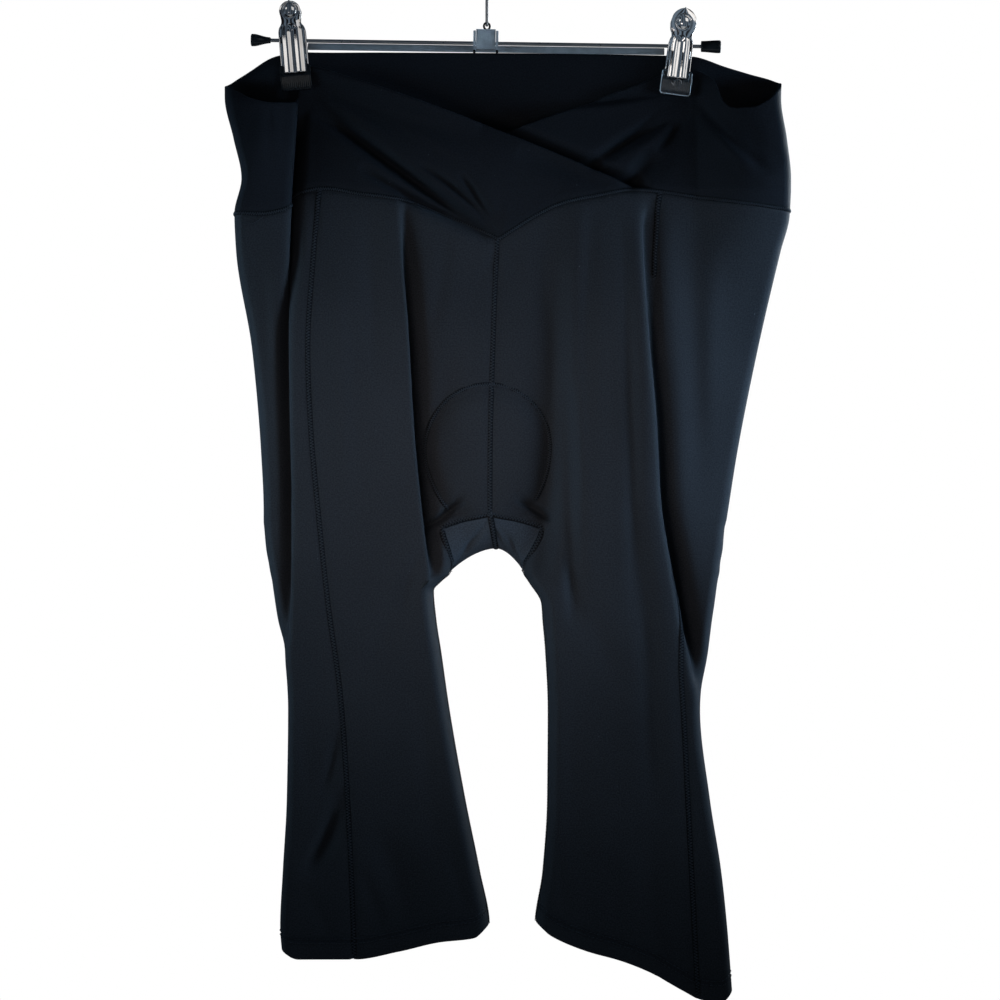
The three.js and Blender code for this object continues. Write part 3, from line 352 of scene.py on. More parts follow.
# %% Edges and seams on the flat
OVER_EDGE = curve([
    (-200, 109), (-190, 113), (-178, 119.5), (-163, 122.5), (-147, 121.5), (-143.5, 117),
    (-139, 97), (-134, 94.5), (-104, 103), (-66, 116), (-5, 138), (25, 150), (71, 169), (110, 186),
])
UNDER_EDGE = curve([
    (-92, 190), (-66, 178), (-28, 160), (25, 141), (86, 119), (134, 100), (140, 97), (157, 97),
    (171, 104), (179, 122), (187, 127), (201, 126.5), (213, 121), (222, 112), (226, 108),
])
BACK_EDGE = curve([
    (-200, 109), (-180, 96), (-160, 86), (-142, 83), (0, 83.5), (154, 86), (181, 93), (200, 98),
    (219, 104), (226, 108),
])
WAIST_FRONT = curve([
    (-192, 206), (-170, 207), (-156, 204.5), (-148, 198), (-140, 190), (-123, 187), (-97, 191),
    (-66, 195), (-28, 209), (-6, 218), (4, 222.6), (9, 225), (14, 222), (25, 215), (40, 206),
    (55, 199), (86, 192), (110, 188), (128, 189), (162, 194), (231, 203),
])
WAIST_BACK = curve([(-192, 206), (-120, 200), (0, 196), (130, 198), (231, 203)])
LEFT_HEM = curve([
    (-157, 763), (-142, 769), (-100, 769), (-66, 763), (-36, 756), (-10, 753), (2, 744),
])
RIGHT_HEM = curve([
    (37, 742), (50, 752), (76, 763), (101, 770), (126, 780), (147, 792), (164, 800), (178, 801),
    (187, 794),
])
LEFT_SEAM = curve([
    (180, -126), (240, -131), (309, -135), (362, -133), (432, -127), (499, -120), (575, -110),
    (690, -103), (772, -100),
])
RIGHT_SEAM = curve([
    (180, 132), (240, 129), (309, 129), (362, 132), (432, 136), (499, 142), (575, 148),
    (650, 152), (804, 160),
])


def half(out, sections, leg_edge, leg_width, side_fold, loops, seam, hem):
    """Gathers what belongs to one half of the garment; out is -1 at the left and 1 at the right."""
    return SimpleNamespace(
        out=out, leg_width=leg_width, loops=loops, seam=seam, hem=hem, **sections,
        leg_edge=SimpleNamespace(**leg_edge), side_fold=SimpleNamespace(**side_fold),
    )


LEFT = half(-1, LEFT_SECTIONS, LEFT_LEG_EDGE, EDGE_WIDTH, LEFT_SIDE_FOLD, LEFT_LOOP, LEFT_SEAM,
            LEFT_HEM)
RIGHT = half(1, RIGHT_SECTIONS, RIGHT_LEG_EDGE, SOFT_EDGE_WIDTH, RIGHT_SIDE_FOLD, RIGHT_LOOP,
             RIGHT_SEAM, RIGHT_HEM)
print("hems", float(LEFT_HEM(-100)), "and", float(RIGHT_HEM(101)), "mm down")

# %% [markdown]
# One function gives the depth of the front of the cloth at any place on the flat, and one gives
# the back. All the folds, creases and loops add up in it, so every panel, seam and stitch that
# asks for the same place gets the same point.

# %% Front and back of the cloth
PAD = SimpleNamespace(x=1, down=382, across=47, above=47, below=62, dome=2.5, steep=2)
FULL_LAP = 2.33  # makes the largest shift equal to the lap
EDGE_SHADOW = 0.95  # the trough beside a leg's edge lies this many widths inside it
FOLD_SHADOW = 0.5  # and the one beside a side fold this many to its lower side
FULL_STEP = 2  # a step of this depth has its trough wholly on one side
UNEVEN = 0.35  # soft unevenness of slack cloth, in millimetres
UNEVEN_FROM = (130, 60)  # where it begins, and over what length
WAVES_ACROSS, WAVES_DOWN = (17, 29, 11), (41, 23, 37)
BACK_WAVES = (90, 50)  # the back takes the unevenness of another place
DRAWN = SimpleNamespace(deep=0.9, width=3.2)  # what a seam's thread draws in
SEAMS_FROM = (195, 15)  # the seams of the legs begin below the waist
PAD_STITCHED = (428, 12)  # where the pad's stitching begins to run out


def overhang(off, lap):
    """The sideways shift of a fold's edge: minus lap times off times exp of minus off squared."""
    return -lap * FULL_LAP * off * np.exp(-off * off)


def unevenness(x, down):
    """Three slow waves with unlike lengths and directions, so no pattern repeats in view."""
    a, b, c = (x / length for length in WAVES_ACROSS)
    p, q, r = (down / length for length in WAVES_DOWN)
    return UNEVEN * (np.sin(a + p + 1.3) + np.sin(b - q) + 0.6 * np.sin(c + np.sin(r) * 1.7))


def drawn(off):
    """The groove along a seam: its depth times exp of minus the distance in widths squared."""
    return DRAWN.deep * np.exp(-(off / DRAWN.width) ** 2)


def pad_high(down):
    """Half the pad's height: it is longer below its middle than above."""
    return np.where(down < PAD.down, PAD.above, PAD.below)


def front_at(side, x, down):
    """(shift outwards, depth) of the front: minus its depth, plus the recess between the legs,
    each fold's step, trough and slope, the creases, the unevenness and the seams' grooves, less the
    pad's dome and the loops."""
    fold = side.side_fold
    edge_off = (x - side.leg_edge.x(down)) * side.out / side.leg_width
    side_off = (x - fold.x(down)) * side.out / fold.width(down)
    wing = np.clip((x - fold.x(down)) / (side.outer(down) - fold.x(down)), 0, 1)
    trough = FOLD_SHADOW * np.clip(fold.step(down) / FULL_STEP, -1, 1)
    pad = 1 - ((x - PAD.x) / PAD.across) ** 2 - ((down - PAD.down) / pad_high(down)) ** 2
    shift = overhang(edge_off, side.leg_edge.lap(down)) + overhang(side_off, fold.lap(down))
    depth = (
        -DEPTH.front(down)
        + DEPTH.recess(down) * (1 - rise((edge_off + 1) / 2))
        + side.leg_edge.groove(down) * np.exp(-((edge_off + EDGE_SHADOW) / EDGE_SHADOW) ** 2)
        + fold.step(down) * rise((side_off + 1) / 2)
        + fold.groove(down) * np.exp(-((side_off - trough) ** 2))
        + fold.tilt(down) * wing
        - side.loops["front"](x, down)
        - MIDDLE_LOOP["front"](x, down)
        - PAD.dome * rise(pad * PAD.steep)
        + creased(FRONT_CREASES, x, down)
        + unevenness(x, down) * grown(down, *UNEVEN_FROM)
        + drawn(down - WAIST_FRONT(x))
        + (drawn(x - side.seam(down)) + drawn(x - side.inner(down))) * grown(down, *SEAMS_FROM)
        + drawn((np.sqrt(1 - pad) - 1) * PAD.across) * (1 - grown(down, *PAD_STITCHED))
    )
    return shift, depth


def back_at(side, x, down):
    """Depth of the back: its own depth plus the loops, less the creases, the unevenness taken from
    elsewhere and the seams' grooves."""
    return (
        DEPTH.back(down)
        + side.loops["back"](x, down)
        + MIDDLE_LOOP["back"](x, down)
        - creased(BACK_CREASES, x, down)
        - unevenness(x + BACK_WAVES[0], down + BACK_WAVES[1]) * grown(down, *UNEVEN_FROM)
        - drawn(down - WAIST_BACK(x))
        - drawn(x - side.inner(down)) * grown(down, *SEAMS_FROM)
    )


thigh = front_at(RIGHT, np.array([60.0]), np.array([300.0]))[1]
print("front stands", round(-float(thigh[0]), 1), "mm out at the right thigh")

# %% [markdown]
# A turn runs once round each half: -1 to 0 is the inner leg, 0 to 1 the front, 1 to 2 the outer
# fold, 2 to 3 the back and 3 to 4 the inner leg again. Polar angles round the leg would be another
# way, but a flattened tube has long straight sides, and turns keep its columns even.

# %% Round each half
APART = 3.9  # the least from the outer face in front to the one behind: two walls and a gap
TURN_STEP, DOWN_STEP = 0.002, 0.3  # for slopes
MEET_PASSES, GRID_PASSES = 6, 4


def by_turn(turn, *values):
    """Picks the value of the stretch that a turn lies in: inner leg, front, fold, back, inner."""
    return np.select([turn < 0, turn <= 1, turn < 2, turn <= 3], values[:4], values[4])


def ends_of(side, down):
    """Where the straight part of the front starts and ends on the flat."""
    start = side.inner(down) + side.out * side.round(down) * INSEAM_ROUND
    return start, side.outer(down) - side.out * FOLD_ROUND


def round_inner(turn):
    """How far along its quarter circle a turn on the inner leg is, in radians."""
    return np.where(turn < 0, -turn, np.clip(turn - 3, 0, 1)) * np.pi / 2


def flat_x(side, turn, down):
    """Where a turn lies on the flat: even along front and back, and a sine round each fold."""
    start, end = ends_of(side, down)
    inner = start - side.out * INSEAM_ROUND * np.sin(round_inner(turn))
    outer = end + side.out * FOLD_ROUND * np.sin(np.clip(turn - 1, 0, 1) * np.pi)
    return by_turn(turn, inner, mix(start, end, turn), outer, mix(end, start, turn - 2), inner)


def ring(side, turn, down):
    """The point at a turn and height: on the front, on the back, or on a half circle between them
    at the two folds."""
    turn, down = np.broadcast_arrays(np.asarray(turn, float), np.asarray(down, float))
    x = flat_x(side, turn, down)
    shift, front = front_at(side, x, down)
    back = back_at(side, x, down)
    front = np.minimum(front, back - APART)
    middle, deep = (front + back) / 2, (back - front) / 2
    outer = np.cos(np.clip(turn - 1, 0, 1) * np.pi)
    inner = np.cos(round_inner(turn))
    y = by_turn(turn, middle - deep * inner, front, middle - deep * outer, back,
                middle + deep * inner)
    moved = by_turn(turn, 0 * x, shift, shift * (1 + outer) / 2, 0 * x, 0 * x)
    return np.stack([x + side.out * moved, y, -down], axis=-1)


def ring_normal(side, turn, down):
    """Outwards from the cloth: the cross product of the steps along the turn and down."""
    along = ring(side, turn + TURN_STEP, down) - ring(side, turn - TURN_STEP, down)
    fall = ring(side, turn, down + DOWN_STEP) - ring(side, turn, down - DOWN_STEP)
    normal = np.cross(along, fall) * -side.out
    return normal / np.linalg.norm(normal, axis=-1, keepdims=True)


def turn_at(side, x, down):
    """The turn at which the front has a given place on the flat."""
    start, end = ends_of(side, down)
    return np.clip((x - start) / (end - start), 0, 1)


def meet(side, turn, edge, guess):
    """Follows a column of cloth to an edge that is given on the flat."""
    down = np.full(np.shape(turn), float(guess))
    for _ in range(MEET_PASSES):
        down = edge(flat_x(side, turn, down))
    return down


print("outer fold of the left half at", np.round(ring(LEFT, 1.5, 300.0), 1))

# %% [markdown]
# A piece of cloth is a thin wall. Solidify would make it, but its rim is square, and the top of
# the waistband and the hems are soft folds. So the wall is built from two grids, the outer face
# and the same one moved in along its normals, and a rim of loops that rounds out where the edge is
# free.

# %% Cloth as a wall with rounded free edges
RIM_LOOPS = 3


def lengths(points, axis):
    """Distance run along one way of a grid, added up from its first row or column."""
    steps = np.linalg.norm(np.diff(points, axis=axis), axis=-1)
    first = np.zeros_like(np.take(steps, [0], axis=axis))
    return np.concatenate([first, np.cumsum(steps, axis=axis)], axis=axis)


def border_of(rows, cols):
    """The indices round the edge of a grid, in order, with the edge that each belongs to."""
    grid = np.arange(rows * cols).reshape(rows, cols)
    parts = [grid[0, :-1], grid[:-1, -1], grid[-1, :0:-1], grid[:0:-1, 0]]
    edge = np.repeat(np.arange(4), [len(p) for p in parts])
    return np.concatenate(parts), edge


def grid_area(points):
    """Area of a grid of points, from the cross products of each cell's diagonals."""
    across = points[1:, 1:] - points[:-1, :-1]
    other = points[1:, :-1] - points[:-1, 1:]
    return float(np.linalg.norm(np.cross(across, other), axis=-1).sum() / 2)


def quads(first, second):
    """Faces between two loops of the same length that close on themselves."""
    return np.stack([first, np.roll(first, -1), np.roll(second, -1), second], axis=-1)


def outwards(points, faces):
    """Turns all the faces over if the volume inside them, the sum of their triple products, comes
    out below nothing."""
    corner = lambda f, k: points[f[:, k]]
    volume = sum(float((np.cross(corner(f, 0), corner(f, k)) * corner(f, k + 1)).sum())
                 for f in faces for k in range(1, f.shape[1] - 1))
    return faces if volume > 0 else [f[:, ::-1] for f in faces]


def put_mesh(name, points, faces, uv=None, finish=None):
    """Links a mesh made from whole arrays, in metres, smooth, with its cloth coordinates as UV."""
    mesh = bpy.data.meshes.new(name)
    rows = [row for f in outwards(points, faces) for row in f.tolist()]
    mesh.from_pydata((points * MM).tolist(), [], rows)
    mesh.polygons.foreach_set("use_smooth", np.ones(len(mesh.polygons), bool))
    if uv is not None:
        index = np.empty(len(mesh.loops), np.int32)
        mesh.loops.foreach_get("vertex_index", index)
        mesh.uv_layers.new(name="cloth").data.foreach_set("uv", (uv * MM)[index].ravel())
    mesh.update()
    piece = bpy.data.objects.new(name, mesh)
    bpy.context.scene.collection.objects.link(piece)
    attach(piece, BODY)
    if finish:
        mesh.materials.append(finish)
    return piece


def cloth(name, outer, normal, wall, free, finish, start=0, fall=None):
    """A closed wall: the outer grid, the inner grid a wall's thickness in, and rim loops that bow
    out by half the wall on the free edges (0 top, 1 right, 2 foot, 3 left). Its cloth coordinates
    run across from the start column and down by fall, or else by the length of the columns."""
    rows, cols = outer.shape[:2]
    wall = np.broadcast_to(wall, (rows, cols))[..., None]
    inner = outer - normal * wall
    border, edge = border_of(rows, cols)
    ways = np.zeros_like(outer)
    ways[0] += outer[0] - outer[1]
    ways[-1] += outer[-1] - outer[-2]
    ways[:, -1] += outer[:, -1] - outer[:, -2]
    ways[:, 0] += outer[:, 0] - outer[:, 1]
    flat_ways = ways.reshape(-1, 3)[border]
    flat_ways /= np.maximum(np.linalg.norm(flat_ways, axis=-1, keepdims=True), 1e-9)
    bow = np.isin(edge, free)[:, None] * wall.reshape(-1, 1)[border] / 2
    a, b = outer.reshape(-1, 3)[border], inner.reshape(-1, 3)[border]
    angles = np.pi * np.arange(1, RIM_LOOPS + 1) / (RIM_LOOPS + 1)
    loops = [mix(a, b, (1 - np.cos(t)) / 2) + flat_ways * bow * np.sin(t) for t in angles]
    count = rows * cols
    points = np.concatenate([outer.reshape(-1, 3), inner.reshape(-1, 3), *loops])
    grid = np.arange(count).reshape(rows, cols)
    face = np.stack([grid[:-1, :-1], grid[:-1, 1:], grid[1:, 1:], grid[1:, :-1]], axis=-1)
    face = face.reshape(-1, 4)
    between = 2 * count + np.arange(RIM_LOOPS * len(border)).reshape(RIM_LOOPS, -1)
    chain = [border, *between, border + count]
    rim = [quads(second, first) for first, second in zip(chain, chain[1:])]
    faces = [face, (face + count)[:, ::-1], *rim]
    run = lengths(outer, 1)
    fall = lengths(outer, 0) if fall is None else fall
    uv = np.stack([run - run[:, [start]], fall], axis=-1).reshape(-1, 2)
    uv = np.concatenate([uv, uv, *[uv[border]] * RIM_LOOPS])
    piece = put_mesh(name, points, faces, uv, finish)
    size = tuple(float(lengths(outer, axis).max()) * MM for axis in (1, 0))
    area = grid_area(outer) * MM * MM
    print(name, "flat", [round(s, 3) for s in size], "area", round(area, 4))
    return SimpleNamespace(piece=piece, size=size, area=area)


# %% [markdown]
# The knit is brushed nylon jersey, nearly black. Up close it shows fine ribs one way and loops the
# other, a little fuzz and a few specks of lint. An image of cloth would be the usual way; here
# waves and noise on the cloth's own coordinates, in metres, give the grain at its real size.

# %% Finishes: a small kit for node materials
def finish(name, **sockets):
    """A new material; the named sockets of its shader are set to plain values."""
    made = bpy.data.materials.new(name)
    made.use_nodes = True
    shader = made.node_tree.nodes["Principled BSDF"]
    for socket, value in sockets.items():
        shader.inputs[socket.replace("_", " ")].default_value = value
    return made, made.node_tree, shader


def node(tree, kind, **settings):
    """Adds a node. A setting that names a socket is set on it, any other is a property."""
    made = tree.nodes.new("ShaderNode" + kind)
    for key, value in settings.items():
        if hasattr(made, key):
            setattr(made, key, value)
        else:
            made.inputs[key.replace("_", " ")].default_value = value
    return made


def ramp(tree, source, *stops):
    """A colour ramp from a value, with stops of (place, colour)."""
    made = node(tree, "ValToRGB")
    elements = made.color_ramp.elements
    while len(elements) < len(stops):
        elements.new(0.5)
    for element, (place, colour) in zip(elements, stops):
        element.position = place
        element.color = (*colour, 1)
    tree.links.new(source, made.inputs["Fac"])
    return made.outputs["Color"]


def noise(tree, where, scale, detail=2.0):
    """Noise of a given number of cells to a metre."""
    made = node(tree, "TexNoise", Scale=scale, Detail=detail)
    tree.links.new(where, made.inputs["Vector"])
    return made.outputs["Fac"]


def bump(tree, height, distance, strength=1.0, below=None):
    """A bump of a height in metres, on top of another where one is given."""
    made = node(tree, "Bump", Strength=strength, Distance=distance)
    tree.links.new(height, made.inputs["Height"])
    if below:
        tree.links.new(below, made.inputs["Normal"])
    return made.outputs["Normal"]


def clouded(tree, shader, where, scale, detail, *stops):
    """Sets the colour by a ramp from noise of so many cells to a metre."""
    colour = ramp(tree, noise(tree, where, scale, detail), *stops)
    tree.links.new(colour, shader.inputs["Base Color"])


def varied(tree, shader, socket, source, low, high):
    """Sets a socket from a noise, carried from low to high."""
    span = node(tree, "MapRange", To_Min=low, To_Max=high)
    tree.links.new(source, span.inputs["Value"])
    tree.links.new(span.outputs["Result"], shader.inputs[socket])


def blend(tree, share, under, over):
    """From the colour under, an output, to a plain one over it, by a share."""
    made = node(tree, "Mix", data_type="RGBA")
    tree.links.new(share, made.inputs["Factor"])
    tree.links.new(under, made.inputs[6])
    made.inputs[7].default_value = (*over, 1)
    return made.outputs[2]


def maths(tree, operation, a, b):
    """One step of arithmetic between outputs or numbers."""
    made = node(tree, "Math", operation=operation)
    for socket, value in zip(made.inputs, (a, b)):
        if isinstance(value, (int, float)):
            socket.default_value = value
        else:
            tree.links.new(value, socket)
    return made.outputs["Value"]


print("kit ready")

# %% Knit finish
WALES = 1150  # ribs of the knit to a metre
COURSES = 1500
WAVE = math.tau / 20  # a wave texture of scale 1 repeats after this


def waves(tree, where, direction, count, distortion):
    """Even waves in a direction, so many to a metre."""
    made = node(tree, "TexWave", wave_type="BANDS", bands_direction=direction, Scale=WAVE * count,
                Distortion=distortion)
    tree.links.new(where, made.inputs["Vector"])
    return made.outputs["Fac"]


def knit_finish(name, dark, pale, ribs):
    """Jersey: colour from slow and fine noise, height from ribs, rows of loops and fuzz."""
    made, tree, shader = finish(name, Roughness=0.6, Specular_IOR_Level=0.035, Sheen_Weight=0.012,
                                Sheen_Roughness=0.45)
    shader.inputs["Sheen Tint"].default_value = (0.55, 0.78, 1.0, 1)
    cloth_uv = node(tree, "UVMap", uv_map="cloth").outputs["UV"]
    place = node(tree, "TexCoord").outputs["Object"]
    fine = noise(tree, cloth_uv, 900, 3.0)
    slow = noise(tree, place, 9, 2.0)
    shares = [maths(tree, "MULTIPLY", part, share) for part, share in ((fine, 0.8), (slow, 0.2))]
    colour = ramp(tree, maths(tree, "ADD", *shares), (0.38, dark), (0.62, pale))
    lint = ramp(tree, noise(tree, place, 420, 0.0), (0.9, (0, 0, 0)), (0.94, (1, 1, 1)))
    speckled = blend(tree, lint, colour, (0.04, 0.044, 0.05))
    tree.links.new(speckled, shader.inputs["Base Color"])
    varied(tree, shader, "Roughness", fine, 0.52, 0.68)
    loops = maths(tree, "MULTIPLY", waves(tree, cloth_uv, "X", WALES, 0.6),
                  waves(tree, cloth_uv, "Y", COURSES, 0.8))
    fuzz = bump(tree, noise(tree, cloth_uv, 650, 3.0), 0.00018, 0.5)
    tree.links.new(bump(tree, loops, ribs, 0.5, fuzz), shader.inputs["Normal"])
    return made


knit = knit_finish("knit", (0.0094, 0.0103, 0.0120), (0.0176, 0.0189, 0.0215), 0.0001)
# The waistband's copy of the knit is painted darker: painted shade for the dimmer light at the top
# of the garment.
band_knit = knit_finish("band_knit", (0.0048, 0.0055, 0.0068), (0.0088, 0.0099, 0.0122), 0.00007)
# The gusset's copy of the knit is painted paler and bluer: painted sheen for the light it catches
# facing down and forward.
gusset_knit_painted_sheen = knit_finish("gusset_knit_painted_sheen", (0.016, 0.019, 0.0235), (0.028, 0.033, 0.04), 0.00008)
print("knit:", WALES, "ribs to a metre")

# %% [markdown]
# Each leg panel is one grid. Its rows start along the waist seam, run level round the crotch and
# end along the hem; its columns gather at the long folds. It could be cut from one flat sheet and
# simulated, but then its folds wouldn't fall where the hanger makes them.

# %% Leg panels
SIDE_TURN = 1.5
BODY_WALL = 1.0
HEM_WALL = 2.0
HEM_DEPTH = 13
HEM_STEP = 1.6
HEM_PULL, HEM_PULL_WIDTH = 0.45, 1.4  # the hem's stitches draw the cloth in
WAIST_DOWN, BAND_DOWN, HEM_DOWN = 200, 120, 760
HIP_LEVEL, KNEE_LEVEL = 300, 512
LEVELS = np.concatenate([
    np.linspace(HIP_LEVEL, 424, 26), np.linspace(424, 446, 24)[1:], np.linspace(446, 490, 22)[1:],
    np.linspace(490, KNEE_LEVEL, 6)[1:],
])
UPPER = np.linspace(0, 1, 26)[:-1]
LOWER = np.concatenate([np.linspace(0, 0.93, 56)[1:], np.linspace(0.93, 1, 8)[1:]])
HEM_ROWS = np.linspace(0, 1, 9)[1:]
ROW_ENDS = np.cumsum([len(part) for part in (UPPER, LEVELS, LOWER, HEM_ROWS)])
SLIVER = 0.004  # the least between two marks, in turns
FOLD_REACH = 1.7  # columns gather this many widths to each side of a fold
LEG_EDGE_SHARE = 1.5  # and a little closer at the leg's edge


def leg_rows(side, turn):
    """Heights of all rows at each column's turn."""
    waist = np.where(turn > SIDE_TURN, meet(side, turn, WAIST_BACK, WAIST_DOWN),
                     meet(side, turn, WAIST_FRONT, WAIST_DOWN))
    hem = meet(side, turn, side.hem, HEM_DOWN)
    fold = hem - HEM_DEPTH
    above = mix(waist[:ROW_ENDS[0]], HIP_LEVEL, UPPER[:, None])
    level = LEVELS[:, None] + 0 * turn[ROW_ENDS[0]:ROW_ENDS[1]]
    below = mix(KNEE_LEVEL, fold[ROW_ENDS[1]:ROW_ENDS[2]], LOWER[:, None])
    last = mix(fold[ROW_ENDS[2]:], hem[ROW_ENDS[2]:], HEM_ROWS[:, None])
    return np.concatenate([above, level, below, last])


def fenced(marks):
    """Keeps marks in rising order, at least a sliver apart."""
    marks = [np.array(m, float) for m in marks]
    for k in range(1, len(marks) - 1):
        marks[k] = np.maximum(marks[k], marks[k - 1] + SLIVER)
    for k in range(len(marks) - 2, 0, -1):
        marks[k] = np.minimum(marks[k], marks[k + 1] - SLIVER)
    return np.array(marks)


def spread(marks, counts):
    """Columns spaced evenly between each mark and the next, for marks of (mark, row, column)."""
    segment = np.concatenate([np.repeat(np.arange(len(counts)), counts), [len(counts) - 1]])
    share = np.concatenate([np.arange(c) / c for c in counts] + [[1.0]])
    column = np.arange(len(segment))
    low, high = marks[segment, :, column].T, marks[segment + 1, :, column].T
    return mix(low, high, share)


def fold_marks(side, down, line, width):
    """The turns a reach to each side of a fold's line."""
    reach = width * FOLD_REACH * side.out
    return [turn_at(side, line - reach, down), turn_at(side, line + reach, down)]


def seam_turn(side, down):
    """The turn of the seam between front and side panel."""
    return turn_at(side, side.seam(down), down)


def front_marks(side, down):
    """Inner leg, start of the front, both sides of each fold, and the front seam."""
    edge = fold_marks(side, down, side.leg_edge.x(down), side.leg_width / LEG_EDGE_SHARE)
    marks = [-side.round(down), 0 * down, *edge]
    if side.out > 0:
        marks += fold_marks(side, down, side.side_fold.x(down), side.side_fold.width(down))
    return fenced([*marks, seam_turn(side, down)])


def side_marks(side, down):
    """Front seam, both sides of the fold, outer fold, back, and the inner leg."""
    fold = fold_marks(side, down, side.side_fold.x(down), side.side_fold.width(down))
    return fenced([seam_turn(side, down), *fold, 1 + 0 * down, 2 + 0 * down, 3 + 0 * down,
                   3 + side.round(down)])


def leg_panel(name, side, marks, counts, guess, start):
    """A grid of ring points whose turns and heights are found together in a few passes."""
    cols = sum(counts) + 1
    turn = np.full((ROW_ENDS[-1], cols), float(guess))
    for _ in range(GRID_PASSES):
        down = leg_rows(side, turn)
        turn = spread(marks(side, down), counts)
    hem = meet(side, turn, side.hem, HEM_DOWN)
    above = hem - HEM_DEPTH - down
    normal = ring_normal(side, turn, down)
    pull = HEM_PULL * np.exp(-(above / HEM_PULL_WIDTH) ** 2)
    outer = ring(side, turn, down) - normal * pull[..., None]
    wall = mix(BODY_WALL, HEM_WALL, rise(-above / HEM_STEP))
    return cloth(name, outer, normal, wall, [2], knit, start, down)


front_left = leg_panel("cloth_front_left", LEFT, front_marks, [10, 18, 22, 32], 0.4, -1)
front_right = leg_panel("cloth_front_right", RIGHT, front_marks, [10, 14, 20, 14, 24, 4], 0.4, -1)
side_left = leg_panel("cloth_side_left", LEFT, side_marks, [12, 20, 8, 18, 44, 10], 2.5, 0)
side_right = leg_panel("cloth_side_right", RIGHT, side_marks, [4, 24, 18, 18, 44, 10], 2.5, 0)

# %% [markdown]
# The gusset is a small shaped piece between the four panels. It is stretched between its two seams
# and the two legs: across it arches, and from front to back it follows a half circle.

# %% Gusset
GUSSET = SimpleNamespace(top=432, corner=444, foot=477, middle_x=7, middle_foot=459.5, arch=1.8,
                         pull=3, dimple_across=0.09, dimple_along=0.14)
GUSSET_CELLS = 44
GUSSET_DIMPLES = [  # across, along, slant and depth of each slack place
    (-0.5, 0.2, 1.8, 3.4), (0.2, 0.18, -1.5, 3), (0.56, 0.22, -1.8, 3.2), (-0.34, 0.78, -1.5, 2.6),
    (0.42, 0.76, 1.5, 2.6),
]


def gusset_point(across, along):
    """Front seam, under the crotch, back seam: x and height follow the sine of pi along, depth its
    cosine; what is missing at the legs is added with a power of the distance across."""
    share = np.abs(across)
    arch = share**GUSSET.arch
    under = np.sin(np.pi * along)
    over = (1 - np.cos(np.pi * along)) / 2

    def half_point(side, s, a):
        seam = mix(GUSSET.top, GUSSET.corner, a)
        x = side.inner(seam)
        foot = side.inner(np.float64(GUSSET.foot))
        return np.stack([
            mix(x, mix(GUSSET.middle_x, foot, s), under),
            mix(front_at(side, x, seam)[1], back_at(side, x, seam), over),
            -mix(seam, mix(GUSSET.middle_foot, GUSSET.foot, a), under),
        ], axis=-1)

    down = mix(GUSSET.corner, GUSSET.foot, under)
    halves = []
    for side in (LEFT, RIGHT):
        closed = side.round(down)
        edge = ring(side, np.where(along < 0.5, -closed, 3 + closed), down)
        missing = edge - half_point(side, np.ones_like(share), np.ones_like(share))
        halves.append(half_point(side, share, arch) + missing * (share**GUSSET.pull)[..., None])
    return np.where((across < 0)[..., None], halves[0], halves[1])


def grid_normal(points):
    """Normals of a grid from its own slopes."""
    normal = np.cross(np.gradient(points, axis=1), np.gradient(points, axis=0))
    return normal / np.maximum(np.linalg.norm(normal, axis=-1, keepdims=True), 1e-9)


u, v = np.meshgrid(np.linspace(-1, 1, GUSSET_CELLS + 1), np.linspace(0, 1, GUSSET_CELLS + 1))
gusset_grid = gusset_point(u, v)
gusset_normal = grid_normal(gusset_grid)
if gusset_normal[GUSSET_CELLS // 2, GUSSET_CELLS // 2, 2] > 0:
    gusset_normal = -gusset_normal
dimples = sum(deep * np.exp(-((u - x + tilt * (v - y)) / GUSSET.dimple_across) ** 2
                            - ((v - y) / GUSSET.dimple_along) ** 2)
              for x, y, tilt, deep in GUSSET_DIMPLES)
gusset_grid = gusset_grid - gusset_normal * (dimples * np.sin(np.pi * v))[..., None]
# The gusset takes the knit painted paler and bluer, as painted sheen.
gusset = cloth("cloth_gusset", gusset_grid, gusset_normal, BODY_WALL, [], gusset_knit_painted_sheen)

# %% [markdown]
# The waistband is the same knit doubled: two front pieces that cross and one straight back piece.
# Each runs down from its folded top edge to the waist seam, and the under piece lies a little
# further back where the other covers it.

# %% Waistband
BAND_WALL = 1.7
TIP_HIGH = 1.5
BAND_ROWS, EDGE_GATHER = 64, 1.25  # rows, and the power that brings them closer to the edge
TUCK = SimpleNamespace(deep=10, above=13, grow=13, past=2, fade=14)
OVER_TIP, UNDER_TIP = 110, -88
CENTRE_BACK = 3


def tucked(x, down):
    """How far back the under piece lies: full behind the over piece and fading past its tip."""
    return (TUCK.deep * grown(down, OVER_EDGE(x) - TUCK.above, TUCK.grow)
            * (1 - grown(x, OVER_TIP + TUCK.past, TUCK.fade)))


def on_half(u, start, down, work):
    """Works a function of (half, turn, height) out on the half that each place belongs to."""
    turn = np.abs(start - np.abs(u))
    left, right = work(LEFT, turn, down), work(RIGHT, turn, down)
    choose = u < 0 if np.ndim(left) == np.ndim(u) else (u < 0)[..., None]
    return np.where(choose, left, right)


